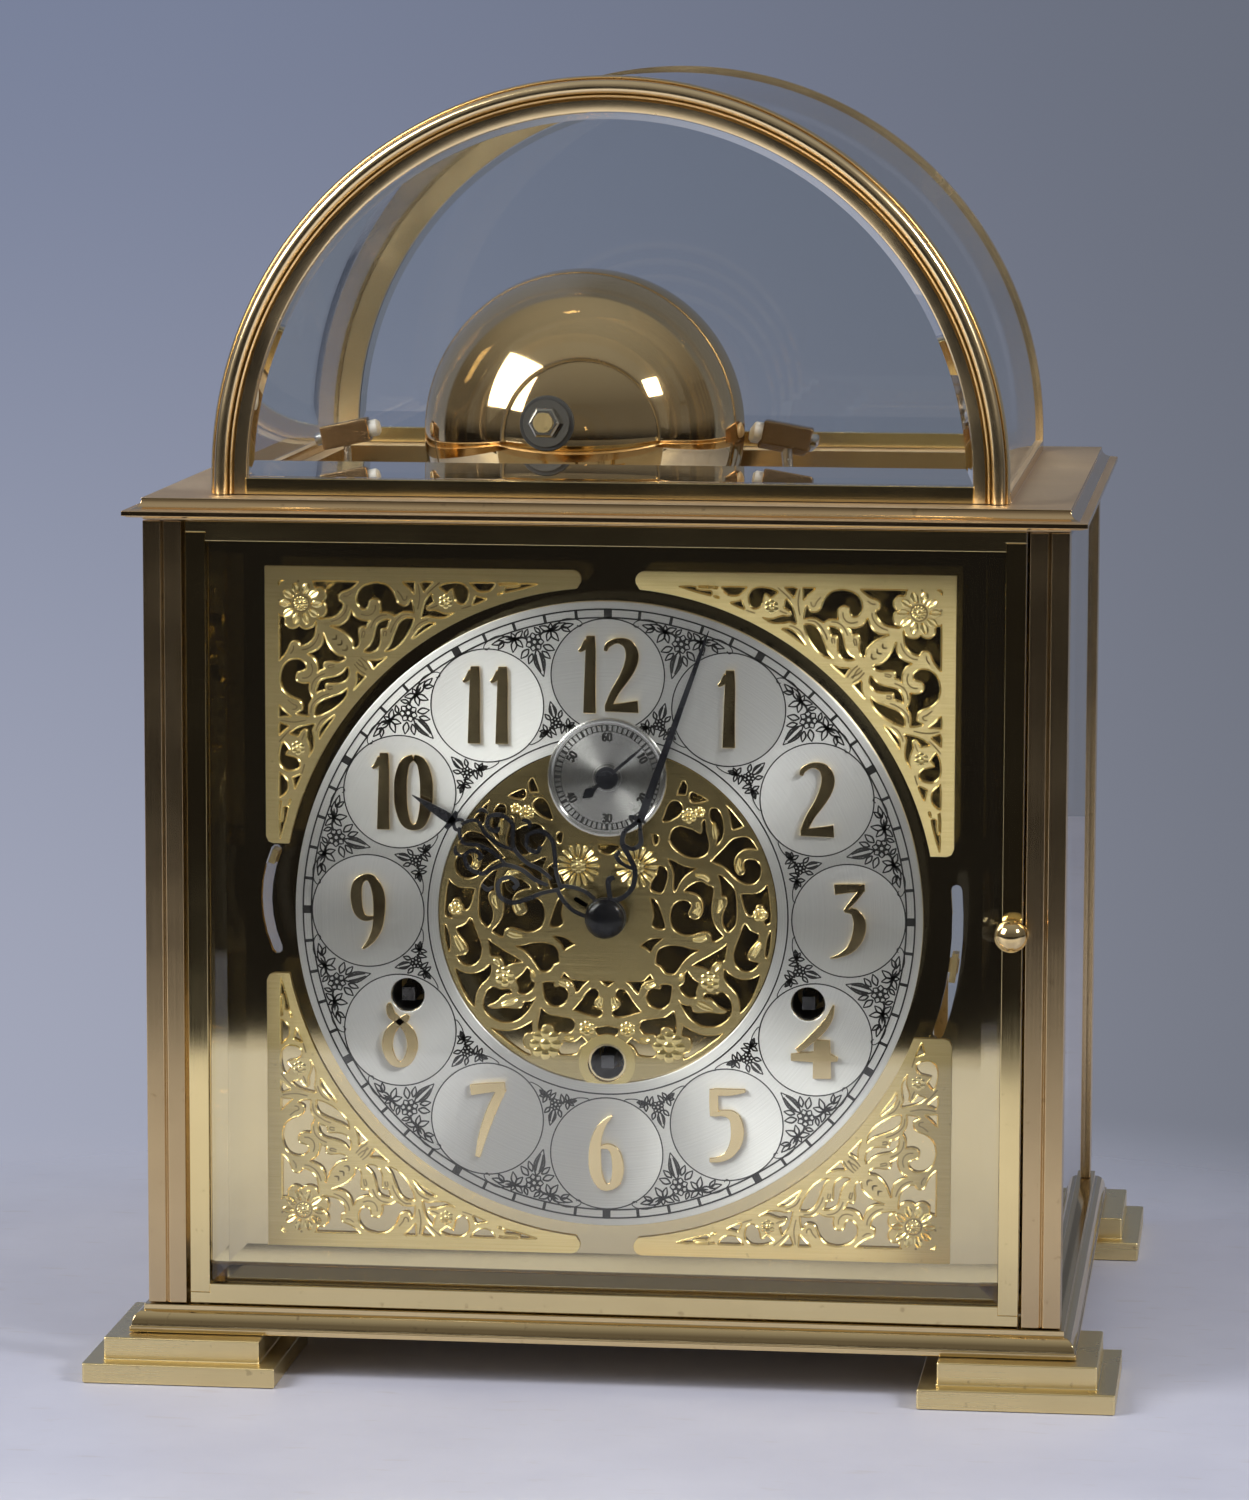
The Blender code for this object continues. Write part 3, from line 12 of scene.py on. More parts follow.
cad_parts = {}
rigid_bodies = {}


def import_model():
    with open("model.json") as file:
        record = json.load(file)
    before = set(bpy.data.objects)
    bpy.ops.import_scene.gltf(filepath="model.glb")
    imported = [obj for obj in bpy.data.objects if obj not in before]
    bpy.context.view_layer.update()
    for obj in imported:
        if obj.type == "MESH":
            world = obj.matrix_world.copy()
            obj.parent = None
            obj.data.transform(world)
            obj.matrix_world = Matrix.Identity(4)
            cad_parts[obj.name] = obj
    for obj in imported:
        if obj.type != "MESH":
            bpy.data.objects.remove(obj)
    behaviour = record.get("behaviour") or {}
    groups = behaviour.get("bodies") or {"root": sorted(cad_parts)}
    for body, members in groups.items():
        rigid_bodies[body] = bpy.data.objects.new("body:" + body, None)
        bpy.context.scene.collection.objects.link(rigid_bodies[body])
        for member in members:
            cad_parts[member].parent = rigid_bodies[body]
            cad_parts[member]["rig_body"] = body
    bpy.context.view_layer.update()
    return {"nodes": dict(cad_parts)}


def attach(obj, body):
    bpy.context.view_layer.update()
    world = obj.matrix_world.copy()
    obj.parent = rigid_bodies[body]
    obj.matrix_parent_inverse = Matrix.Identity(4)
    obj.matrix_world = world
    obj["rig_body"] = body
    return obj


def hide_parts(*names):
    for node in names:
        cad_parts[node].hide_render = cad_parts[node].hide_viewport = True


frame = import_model()

# Feet
# Four stepped blocks of satin brass under the corners of the base, milled square, with the grain
# of the belt running along them and their sharp edges broken. They are screwed on from below.
SATIN_LIGHT = (0.98, 0.82, 0.45)
SATIN_DEEP = (0.90, 0.71, 0.34)
TARNISH = (0.30, 0.19, 0.08)
LEVEL_GRAIN = (25.0, 25.0, 2600.0)
FOOT_EDGE = 0.0005
SHARP_CORNER = 30.0
GRAIN_DEPTH = 0.00004
METAL_SMEARS = 26.0
CORNERS = ("front_left", "front_right", "rear_left", "rear_right")


def add(tree, kind, inputs=None, **settings):
    """A shader node with its settings made and its inputs set or linked."""
    node = tree.nodes.new("ShaderNode" + kind)
    for key, value in settings.items():
        setattr(node, key, value)
    for key, value in (inputs or {}).items():
        if isinstance(value, bpy.types.NodeSocket):
            tree.links.new(value, node.inputs[key])
        else:
            node.inputs[key].default_value = value
    return node


def maths(tree, operation, *values, **settings):
    """The result of a Math node; returns the socket."""
    return add(tree, "Math", dict(enumerate(values)), operation=operation, **settings).outputs[0]


def vectors(tree, operation, *values):
    """The result of a VectorMath node; returns the socket."""
    node = add(tree, "VectorMath", dict(enumerate(values)), operation=operation)
    return node.outputs["Value" if operation == "LENGTH" else "Vector"]


def rising(tree, value, start, end, top=1.0, shape="LINEAR"):
    """A mask that goes from 0 to top while a value goes from start to end; returns the socket."""
    sockets = {"Value": value, 1: start, 2: end, 4: top}
    return add(tree, "MapRange", sockets, interpolation_type=shape).outputs[0]


def ranged(tree, value, low, high):
    """A mask spread between two numbers; returns the socket."""
    return add(tree, "MapRange", {"Value": value, 3: low, 4: high}).outputs[0]


def effect(name, inputs, outputs):
    """An empty node group with its sockets; returns the group, its input node and its output node."""
    tree = bpy.data.node_groups.new(name, "ShaderNodeTree")
    for label, kind in inputs.items():
        tree.interface.new_socket(label, in_out="INPUT", socket_type="NodeSocket" + kind)
    for label, kind in outputs.items():
        tree.interface.new_socket(label, in_out="OUTPUT", socket_type="NodeSocket" + kind)
    return tree, tree.nodes.new("NodeGroupInput"), tree.nodes.new("NodeGroupOutput")


def brushed_grain():
    """Fine straight scratches; Strokes is how many there are in a metre along each axis."""
    tree, given, result = effect("brushed_grain", {"Strokes": "Vector"}, {"Streak": "Float"})
    place = add(tree, "TexCoord").outputs["Object"]
    drawn = vectors(tree, "MULTIPLY", place, given.outputs["Strokes"])
    noise = add(tree, "TexNoise", {"Vector": drawn, "Scale": 1.0, "Detail": 4.0, "Roughness": 0.7})
    tree.links.new(noise.outputs["Fac"], result.inputs["Streak"])
    return tree


def handling_marks():
    """Cloudy smears left by hands and cloths, and small dark spots in the lacquer."""
    tree, given, result = effect("handling_marks", {"Scale": "Float"}, {"Smear": "Float", "Spot": "Float"})
    place = add(tree, "TexCoord").outputs["Object"]
    cloud = add(tree, "TexNoise", {"Vector": place, "Scale": given.outputs["Scale"], "Detail": 5.0})
    many = maths(tree, "MULTIPLY", given.outputs["Scale"], 14.0)
    speck = add(tree, "TexNoise", {"Vector": place, "Scale": many, "Detail": 2.0})
    tree.links.new(rising(tree, cloud.outputs["Fac"], 0.42, 0.78), result.inputs["Smear"])
    tree.links.new(rising(tree, speck.outputs["Fac"], 0.68, 0.76), result.inputs["Spot"])
    return tree


BRUSHED_GRAIN = brushed_grain()
HANDLING_MARKS = handling_marks()


def finish(name, colour, roughness, metallic=1.0, **sockets):
    """A material with one Principled shader; returns it, its node tree and the shader."""
    material = bpy.data.materials.new(name)
    material.use_nodes = True
    shader = material.node_tree.nodes["Principled BSDF"]
    shader.inputs["Base Color"].default_value = (*colour, 1.0)
    shader.inputs["Roughness"].default_value = roughness
    shader.inputs["Metallic"].default_value = metallic
    for key, value in sockets.items():
        shader.inputs[key.replace("_", " ")].default_value = value
    return material, material.node_tree, shader


def blended(tree, share, first, second):
    """A colour between two others, by a mask; returns the socket."""
    mix = add(tree, "Mix", {0: share}, data_type="RGBA")
    for index, colour in ((6, first), (7, second)):
        if isinstance(colour, bpy.types.NodeSocket):
            tree.links.new(colour, mix.inputs[index])
        else:
            mix.inputs[index].default_value = (*colour, 1.0)
    return mix.outputs[2]


def brushed_metal(name, strokes, light, deep, smooth, rough):
    """Metal with straight grain, cloudy smears and a few spots; smooth and rough bound its roughness."""
    material, tree, shader = finish(name, light, smooth)
    streak = add(tree, "Group", {"Strokes": strokes}, node_tree=BRUSHED_GRAIN).outputs["Streak"]
    worn = add(tree, "Group", {"Scale": METAL_SMEARS}, node_tree=HANDLING_MARKS)
    smear, spot = worn.outputs["Smear"], worn.outputs["Spot"]
    tone = blended(tree, ranged(tree, streak, 0.2, 0.9), deep, light)
    tone = blended(tree, ranged(tree, smear, 0.0, 0.12), tone, TARNISH)
    tone = blended(tree, ranged(tree, spot, 0.0, 0.35), tone, TARNISH)
    tree.links.new(tone, shader.inputs["Base Color"])
    dull = maths(tree, "ADD", ranged(tree, streak, smooth, rough), ranged(tree, smear, 0.0, 0.07))
    tree.links.new(dull, shader.inputs["Roughness"])
    bump = add(tree, "Bump", {"Height": streak, "Strength": 0.25, "Distance": GRAIN_DEPTH})
    tree.links.new(bump.outputs[0], shader.inputs["Normal"])
    return material


def made(name, bm, material, body, corner=35.0):
    """A piece from a finished bmesh, smooth but for its sharp corners, riding on a CAD body."""
    bmesh.ops.recalc_face_normals(bm, faces=bm.faces)
    mesh = bpy.data.meshes.new(name)
    bm.to_mesh(mesh)
    bm.free()
    mesh.shade_smooth()
    mesh.set_sharp_from_angle(angle=radians(corner))
    mesh.materials.append(material)
    piece = bpy.data.objects.new(name, mesh)
    bpy.context.collection.objects.link(piece)
    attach(piece, body)
    return piece


def break_edges(piece, width, steps=2):
    """A small round on every sharp edge of a piece."""
    bevel = piece.modifiers.new("broken_edges", "BEVEL")
    bevel.width = width
    bevel.segments = steps
    bevel.limit_method = "ANGLE"
    bevel.angle_limit = radians(SHARP_CORNER)
    bevel.harden_normals = True


def eased(name, material, width):
    """A CAD piece taken over as it is, with its sharp edges broken."""
    node = frame["nodes"][name]
    bm = bmesh.new()
    for polygon in node.data.polygons:
        bm.faces.new([bm.verts.new(node.data.vertices[i].co) for i in polygon.vertices])
    bmesh.ops.remove_doubles(bm, verts=bm.verts, dist=1e-6)
    bmesh.ops.dissolve_limit(bm, angle_limit=radians(0.4), verts=bm.verts, edges=bm.edges)
    piece = made(name + "_eased", bm, material, node["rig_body"])
    break_edges(piece, width)
    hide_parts(name)
    return piece


SATIN_LEVEL = brushed_metal("satin_brass_level", LEVEL_GRAIN, SATIN_LIGHT, SATIN_DEEP, 0.20, 0.36)
for corner in CORNERS:
    eased("foot_" + corner, SATIN_LEVEL, FOOT_EDGE)

# Base plate
# A brass tray with a fillet, a quarter round and a second fillet along its outer edge, milled from
# plate and polished. It carries the pillars and the movement.
BASE_EDGE = 0.00025
BASE_LIGHT, BASE_DEEP = (0.98, 0.78, 0.43), (0.88, 0.66, 0.32)
MOULDING_BRASS = brushed_metal("moulding_brass", LEVEL_GRAIN, BASE_LIGHT, BASE_DEEP, 0.04, 0.10)
eased("base_plate", MOULDING_BRASS, BASE_EDGE)

# Corner pillars
# Four square brass bars with a fine groove down both outer faces, drawn to section and brushed
# along their length. Screws hold them between the base and the cornice.
PILLAR_GRAIN = (2600.0, 2600.0, 14.0)
PILLAR_EDGE = 0.0002
PILLAR_LIGHT, PILLAR_DEEP = (0.76, 0.58, 0.34), (0.62, 0.46, 0.25)
SATIN_UPRIGHT = brushed_metal("satin_brass_upright", PILLAR_GRAIN, PILLAR_LIGHT, PILLAR_DEEP, 0.14, 0.24)
for corner in CORNERS:
    eased("pillar_" + corner, SATIN_UPRIGHT, PILLAR_EDGE)

# Side panes
# Two polished panes of clear glass with a wide ground bevel on the outside, let into the pillars.
# Dust and wipe marks leave them a little uneven.
GLASS_TINT, GLASS_DUST, GLASS_SHADE = (0.955, 0.975, 0.97), (0.7, 0.7, 0.68), (0.95, 0.96, 0.96, 1.0)
WIPE_MARKS = 9.0


def pane_glass(name, tint):
    """Clear polished glass; light passes it without a hard shadow."""
    material, tree, shader = finish(name, tint, 0.0, 0.0, IOR=1.5, Transmission_Weight=1.0)
    wiped = add(tree, "Group", {"Scale": WIPE_MARKS}, node_tree=HANDLING_MARKS)
    tree.links.new(ranged(tree, wiped.outputs["Smear"], 0.0, 0.012), shader.inputs["Roughness"])
    dust = ranged(tree, wiped.outputs["Spot"], 0.0, 0.06)
    tree.links.new(blended(tree, dust, tint, GLASS_DUST), shader.inputs["Base Color"])
    clear = add(tree, "BsdfTransparent", {"Color": GLASS_SHADE})
    path = add(tree, "LightPath")
    passing = maths(tree, "MAXIMUM", path.outputs["Is Shadow Ray"], path.outputs["Is Diffuse Ray"])
    mix = add(tree, "MixShader", {0: passing, 1: shader.outputs[0], 2: clear.outputs[0]})
    tree.links.new(mix.outputs[0], tree.nodes["Material Output"].inputs["Surface"])
    return material


def dressed(names, material):
    """CAD pieces kept as they are, with a better material."""
    for name in names:
        for held in frame["nodes"][name].material_slots:
            held.material = material


CLEAR_GLASS = pane_glass("clear_glass", GLASS_TINT)
dressed(["side_glass_left", "side_glass_right"], CLEAR_GLASS)

# Cornice
# The top frame of the case: a brass moulding with a lip over the pillars, open in the middle for the
# bells, and two raised curbs for the bent glass. Polished at the sides and left satin on top; the top
# faces also carry painted shade, a darker brass than the sides.
CORNICE_EDGE = 0.0002
SIDE_LIGHT, SIDE_DEEP = (0.92, 0.68, 0.38), (0.78, 0.55, 0.28)
SHADED_TOP_LIGHT, SHADED_TOP_DEEP = (0.66, 0.50, 0.32), (0.44, 0.32, 0.19)
FACES_UP = 0.95
CORNICE_BRASS = brushed_metal("cornice_brass", LEVEL_GRAIN, SIDE_LIGHT, SIDE_DEEP, 0.08, 0.17)
# Darker brass for the faces turned up: painted shade on the top of the cornice.
CORNICE_SHADED_TOP = brushed_metal("cornice_top_brass", LEVEL_GRAIN, SHADED_TOP_LIGHT, SHADED_TOP_DEEP, 0.40, 0.56)
cornice = eased("cornice", CORNICE_BRASS, CORNICE_EDGE)
cornice.data.materials.append(CORNICE_SHADED_TOP)
# Faces turned up take the darker brass, the painted shade.
for face in cornice.data.polygons:
    face.material_index = int(face.normal.z > FACES_UP)

# Movement
# Two lacquered brass plates with pillars, wheels and barrels between them, brushed straight. The
# winding squares are steel painted nearly black, painted shade for the dark holes they sit in. The chime
# drum and the balance sit behind the rear plate.
MOVEMENT_LIGHT = (0.78, 0.60, 0.30)
MOVEMENT_DEEP = (0.58, 0.42, 0.19)
MOVEMENT_GRAIN = (1800.0, 1800.0, 60.0)
MOVEMENT_BRASS = brushed_metal("movement_brass", MOVEMENT_GRAIN, MOVEMENT_LIGHT, MOVEMENT_DEEP, 0.20, 0.36)
STEEL_GRAIN = (900.0, 900.0, 900.0)
STEEL = brushed_metal("bright_steel", STEEL_GRAIN, (0.62, 0.62, 0.63), (0.45, 0.45, 0.46), 0.16, 0.30)
# Winding squares: steel painted nearly black, as painted shade deep in the winding holes.
SHADED_WINDING_STEEL = brushed_metal("winding_steel", STEEL_GRAIN, (0.16, 0.16, 0.17), (0.07, 0.07, 0.08), 0.16, 0.30)
SQUARE_BEGINS = -0.0725
BARREL_EDGE = 0.00012
dressed(["front_movement_plate", "rear_movement_plate", "centre_wheel", "third_wheel", "escape_wheel",
         "minute_wheel", "hour_wheel", "balance_wheel", "chime_drum"], MOVEMENT_BRASS)
for name in ("going_barrel", "strike_barrel", "chime_barrel"):
    barrel = eased(name, MOVEMENT_BRASS, BARREL_EDGE)
    # The square ends take the darkened steel, the painted shade.
    barrel.data.materials.append(SHADED_WINDING_STEEL)
    for polygon in barrel.data.polygons:
        polygon.material_index = int(polygon.center.y < SQUARE_BEGINS)

# Dial plate
# A sheet of hard brass polished to a mirror, with two curved slots and three winding holes. Four feet
# pin it to the movement. Only faint wipe marks show in its reflections.
MIRROR_LIGHT, MIRROR_DEEP = (0.86, 0.71, 0.43), (0.80, 0.63, 0.35)


def polished_brass(name, colour, deep, smooth, dull, scale):
    """Polished brass with faint smears that break its reflections."""
    material, tree, shader = finish(name, colour, smooth)
    worn = add(tree, "Group", {"Scale": scale}, node_tree=HANDLING_MARKS)
    tone = blended(tree, ranged(tree, worn.outputs["Smear"], 0.0, 0.4), colour, deep)
    tone = blended(tree, ranged(tree, worn.outputs["Spot"], 0.0, 0.05), tone, TARNISH)
    tree.links.new(tone, shader.inputs["Base Color"])
    tree.links.new(ranged(tree, worn.outputs["Smear"], smooth, dull), shader.inputs["Roughness"])
    return material


dressed(["dial_plate"], polished_brass("mirror_brass", MIRROR_LIGHT, MIRROR_DEEP, 0.035, 0.07, 16.0))

# Chapter ring
# A silvered brass ring, turned and brushed in circles, riveted to the dial plate. Its minute track,
# hour circles and small flowers are printed in black.
DIAL_Z = 0.12755
RING_FACE = -0.0910
RING_BACK = -0.0898
RING_OUTER = 0.0860
RING_INNER = 0.0466
WINDING_X, WINDING_DROP, WINDING_HOLE = 0.0550, 0.0232, 0.0047
RING_EDGE, HOUR_CUP = 0.00018, 0.0006
SILVER, SILVER_LINE, SILVER_DEEP = (0.84, 0.83, 0.805), (0.68, 0.67, 0.645), (0.66, 0.63, 0.56)
SILVER_LINES, SILVER_SMEARS = 3500.0, 20.0
PRINT_FACE = RING_FACE - 0.00005
TRACK, TRACK_LINE = (83.9, 81.6), 0.22
MINUTE_HALF, FIVE_MINUTE_HALF = 0.42, 1.1
INNER_LINE = (49.2, 49.6)
HOUR_CIRCLE, HOUR_RING, HOUR_LINE = 65.9, 15.3, 0.35
THINNEST = 0.04
MM = 0.001


def round_points(radius, steps, centre=(0.0, 0.0)):
    return [(centre[0] + radius * cos(tau * i / steps), centre[1] + radius * sin(tau * i / steps))
            for i in range(steps)]


def arc_points(radius, start, end, steps, centre=(0.0, 0.0)):
    turns = [start + (end - start) * i / steps for i in range(steps + 1)]
    return [(centre[0] + radius * cos(a), centre[1] + radius * sin(a)) for a in turns]


def sheet_of(bm, outlines, face, back, height=DIAL_Z):
    """A flat plate facing front, from outlines in metres about the dial centre; all but the first are holes."""
    edges = []
    for outline in outlines:
        verts = [bm.verts.new((x, face, height + z)) for x, z in outline]
        edges += [bm.edges.new((verts[i - 1], verts[i])) for i in range(len(verts))]
    filled = bmesh.ops.triangle_fill(bm, use_beauty=True, edges=edges)
    faces = [item for item in filled["geom"] if isinstance(item, bmesh.types.BMFace)]
    raised = bmesh.ops.extrude_face_region(bm, geom=faces)
    moved = [item for item in raised["geom"] if isinstance(item, bmesh.types.BMVert)]
    bmesh.ops.translate(bm, verts=moved, vec=(0.0, back - face, 0.0))
    return bm


def banded(bm, rows):
    """Faces between neighbouring rows of points, each row a closed loop or a single point."""
    for first, second in zip(rows, rows[1:]):
        for i in range(max(len(first), len(second))):
            places = ((first, i - 1), (first, i), (second, i), (second, i - 1))
            corners = dict.fromkeys(row[k % len(row)] for row, k in places)
            bm.faces.new(list(corners))


def turned_ring(bm, profile, steps, centre):
    """A ring facing front, turned about a point on the dial from (radius, y) in millimetres and metres."""
    rows = []
    for radius, y in profile:
        points = round_points(radius * MM, steps, (centre[0] * MM, centre[1] * MM))
        rows.append([bm.verts.new((x, y, DIAL_Z + z)) for x, z in points])
    banded(bm, rows + rows[:1])


def hoop(bm, inner, outer, face, back, centre=(0.0, 0.0), steps=96):
    """A flat ring facing front; sizes and centre are millimetres from the dial centre."""
    turned_ring(bm, ((inner, back), (inner, face), (outer, face), (outer, back)), steps, centre)


def curved(points, per):
    """A smooth run through given points, with per steps between each pair."""
    run = []
    ends = [points[0]] + list(points) + [points[-1]]
    for a, b, c, d in zip(ends, ends[1:], ends[2:], ends[3:]):
        for i in range(per):
            t = i / per
            run.append(tuple(0.5 * (2 * q + (r - p) * t + (2 * p - 5 * q + 4 * r - s) * t * t
                                    + (3 * q - p - 3 * r + s) * t ** 3) for p, q, r, s in zip(a, b, c, d)))
    return run + [tuple(points[-1])]


def skinned(bm, rows):
    """A skin over rows of points, filled at both ends."""
    banded(bm, rows)
    bm.faces.new(rows[0])
    bm.faces.new(rows[-1])


def stroke(bm, points, face, back, groove=0.0, per=4, turn=None):
    """A cut or printed stroke through (x, z, half width) in millimetres; a groove leaves its middle low."""
    run = curved(points, per) if per > 1 else [tuple(p) for p in points]
    if turn:
        run = [(*turn(x, z), half) for x, z, half in run]
    section = [(-1.0, back), (-1.0, face), (1.0, face), (1.0, back)]
    if groove:
        edge, low = face + groove * 0.6, face + groove
        section = [(-1.0, back), (-1.0, edge), (-0.6, face), (0.0, low), (0.6, face), (1.0, edge), (1.0, back)]
    rows = []
    for i, (x, z, half) in enumerate(run):
        before, after = run[max(i - 1, 0)], run[min(i + 1, len(run) - 1)]
        along = Vector((after[0] - before[0], after[1] - before[1]))
        along = along.normalized() if along.length > 1e-6 else Vector((1.0, 0.0))
        half = max(half, THINNEST)
        rows.append([bm.verts.new(((x - along.y * half * s) * MM, y, DIAL_Z + (z + along.x * half * s) * MM))
                     for s, y in section])
    skinned(bm, rows)


def dot(bm, x, z, radius, face, back, steps):
    """A flat round spot, in millimetres from the dial centre."""
    sheet_of(bm, [round_points(radius * MM, steps, (x * MM, z * MM))], face, back)


def clockwise(degrees, centre=(0.0, 0.0)):
    """Turns a drawing made at twelve o'clock to another place round a centre."""
    c, s = cos(radians(degrees)), sin(radians(degrees))
    return lambda x, z: (centre[0] + (x * c + z * s), centre[1] + (z * c - x * s))


def off_centre(tree, centre):
    """Where a point lies from a centre in the dial's plane; returns the vector's and the distance's sockets."""
    off = vectors(tree, "SUBTRACT", add(tree, "TexCoord").outputs["Object"], centre)
    flat = vectors(tree, "MULTIPLY", off, (1.0, 0.0, 1.0))
    return flat, vectors(tree, "LENGTH", flat)


def turned_lines():
    """Fine lines round a centre, as a lathe or a turning brush leaves them."""
    tree, given, result = effect("turned_lines", {"Centre": "Vector", "Lines": "Float"}, {"Streak": "Float"})
    flat, away = off_centre(tree, given.outputs["Centre"])
    count = maths(tree, "MULTIPLY", away, given.outputs["Lines"])
    noise = add(tree, "TexNoise", {"W": count, "Scale": 1.0, "Detail": 3.0}, noise_dimensions="1D")
    tree.links.new(noise.outputs["Fac"], result.inputs["Streak"])
    return tree


def hour_cups():
    """Height of the twelve shallow cups turned into the ring, one under each numeral."""
    sizes = {"Centre": "Vector", "Circle": "Float", "Reach": "Float"}
    tree, given, result = effect("hour_cups", sizes, {"Height": "Float"})
    flat, away = off_centre(tree, given.outputs["Centre"])
    split = add(tree, "SeparateXYZ", {0: flat})
    angle = maths(tree, "ARCTAN2", split.outputs["X"], split.outputs["Z"])
    folded = maths(tree, "WRAP", angle, radians(15.0), radians(-15.0))
    across = maths(tree, "MULTIPLY", maths(tree, "SINE", folded), away)
    along = maths(tree, "MULTIPLY", maths(tree, "COSINE", folded), away)
    along = maths(tree, "SUBTRACT", along, given.outputs["Circle"])
    near = vectors(tree, "LENGTH", add(tree, "CombineXYZ", {0: across, 1: along}).outputs[0])
    share = maths(tree, "DIVIDE", near, given.outputs["Reach"], use_clamp=True)
    tree.links.new(maths(tree, "POWER", share, 2.0), result.inputs["Height"])
    return tree


TURNED_LINES = turned_lines()
HOUR_CUPS = hour_cups()


def silvered(name, centre, smooth, rough, anisotropy, cup=0.0):
    """Silvered brass brushed in circles, so that light gathers in two rays; cup is how deep the hours are."""
    drawn_out = {"Anisotropic": anisotropy, "Anisotropic_Rotation": 0.25}
    material, tree, shader = finish(name, SILVER, smooth, 1.0, **drawn_out)
    if cup:
        sizes = {"Centre": centre, "Circle": HOUR_CIRCLE * MM, "Reach": HOUR_RING * MM}
        dished = add(tree, "Group", sizes, node_tree=HOUR_CUPS)
        bump = add(tree, "Bump", {"Height": dished.outputs["Height"], "Distance": cup})
        tree.links.new(bump.outputs[0], shader.inputs["Normal"])
    lines = add(tree, "Group", {"Centre": centre, "Lines": SILVER_LINES}, node_tree=TURNED_LINES)
    streak = lines.outputs["Streak"]
    worn = add(tree, "Group", {"Scale": SILVER_SMEARS}, node_tree=HANDLING_MARKS)
    tone = blended(tree, ranged(tree, streak, -0.2, 1.2), SILVER_LINE, SILVER)
    tone = blended(tree, ranged(tree, worn.outputs["Smear"], 0.0, 0.25), tone, SILVER_DEEP)
    tree.links.new(tone, shader.inputs["Base Color"])
    tree.links.new(ranged(tree, streak, smooth, rough), shader.inputs["Roughness"])
    tangent = add(tree, "Tangent", direction_type="RADIAL", axis="Y")
    tree.links.new(tangent.outputs[0], shader.inputs["Tangent"])
    return material


def smeared(name, first, second, scale, smooth, dull, metallic=0.0, **sockets):
    """A finish that clouds from one colour to another and from smooth to dull."""
    material, tree, shader = finish(name, first, smooth, metallic, **sockets)
    smear = add(tree, "Group", {"Scale": scale}, node_tree=HANDLING_MARKS).outputs["Smear"]
    tree.links.new(blended(tree, smear, first, second), shader.inputs["Base Color"])
    if dull > smooth:
        tree.links.new(ranged(tree, smear, smooth, dull), shader.inputs["Roughness"])
    return material


ring = bmesh.new()
holes = [round_points(WINDING_HOLE, 40, (side * WINDING_X, -WINDING_DROP)) for side in (-1, 1)]
sheet_of(ring, [round_points(RING_OUTER, 180), round_points(RING_INNER, 120)] + holes, RING_FACE, RING_BACK)
RING_SILVER = silvered("silvered_ring", (0.0, 0.0, DIAL_Z), 0.40, 0.52, 0.85, HOUR_CUP)
ring = made("chapter_ring_silvered", ring, RING_SILVER, "case")
break_edges(ring, RING_EDGE)
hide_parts("chapter_ring")

FINE = 0.21


def leaf(bm, start, end, width, turn):
    """An outlined leaf between two points: two fine bowed lines."""
    along = Vector(end) - Vector(start)
    bow = Vector((-along.y, along.x)).normalized() * width / 2
    middle = Vector(start) + along * 0.45
    for side in (-1, 1):
        points = [(*start, FINE), (*(middle + bow * side), FINE * 1.2), (*end, FINE * 0.7)]
        stroke(bm, points, PRINT_FACE, RING_BACK, per=4, turn=turn)


OUTER_LEAVES = [((5, 79.3), (9.6, 80.3), 1.7), ((5, 79.3), (2.3, 81.1), 1.4), ((5, 79.3), (6.5, 75.9), 1.5),
                ((5, 79.3), (3.4, 76.6), 1.3), ((5, 79.3), (5.6, 81.2), 1), ((2, 75.8), (4.8, 73.8), 1.6),
                ((1.3, 74.4), (3.1, 71.8), 1.3), ((8, 79.5), (11.6, 79.4), 1.2), ((8, 79.5), (10.2, 77.7), 1.1),
                ((2.2, 79.2), (.9, 81.2), 1)]
OUTER_LINES = [[(5.4, 79.4, .2), (9, 81.3, .15), (12.4, 80.6, .15), (13.9, 79.2, .14), (13.2, 78.3, .14),
                (12.4, 78.9, .12)],
               [(.5, 74, .2), (.75, 71.6, .38), (.3, 69, .12)],
               [(5, 79.3, .7), (6.4, 79.6, .35), (7.6, 79.9, .1)],
               [(1.6, 78.4, .25), (3, 79.3, .3), (5, 79.3, .4)]]
INNER_LEAVES = [((1.2, 55.6), (2.4, 57.6), 1), ((2, 53.8), (.7, 51.2), 1), ((3, 52.8), (5.4, 51.8), 1.1),
                ((3, 52.8), (2.1, 50.8), .9), ((3, 52.8), (3.5, 55), 1), ((3, 52.8), (5, 53.4), .8)]
INNER_LINES = [[(3.2, 52.4, .2), (5.4, 51, .14), (8, 50.4, .14), (8.8, 50.9, .1)],
               [(.4, 56.6, .15), (.5, 58, .28), (.2, 59.4, .1)], [(3, 52.8, .5), (4.2, 52.3, .25), (5, 52, .1)],
               [(1, 54, .2), (2, 53.2, .25), (3, 52.8, .35)]]
# Leaves, lines, heart, petal length and tip of the outer and the inner spray between two hours
SPRAYS = ((OUTER_LEAVES, OUTER_LINES, 77.3, 2.6, 67.5), (INNER_LEAVES, INNER_LINES, 54.5, 1.7, 60.6))
SPRAY_PETALS = 7
# Black print ink; the winding wells are made in it too, as painted shade.
INK = smeared("dial_ink", (0.010, 0.009, 0.008), (0.030, 0.0285, 0.0265), 120.0, 0.5, 0.5)
ink = bmesh.new()
for radius in TRACK:
    hoop(ink, radius - TRACK_LINE, radius + TRACK_LINE, PRINT_FACE, RING_BACK, steps=180)
hoop(ink, *INNER_LINE, PRINT_FACE, RING_BACK, steps=120)
for minute in range(60):
    half = FIVE_MINUTE_HALF if minute % 5 == 0 else MINUTE_HALF
    stroke(ink, [(0.0, TRACK[1], half), (0.0, TRACK[0], half)], PRINT_FACE, RING_BACK, per=1,
           turn=clockwise(minute * 6.0))
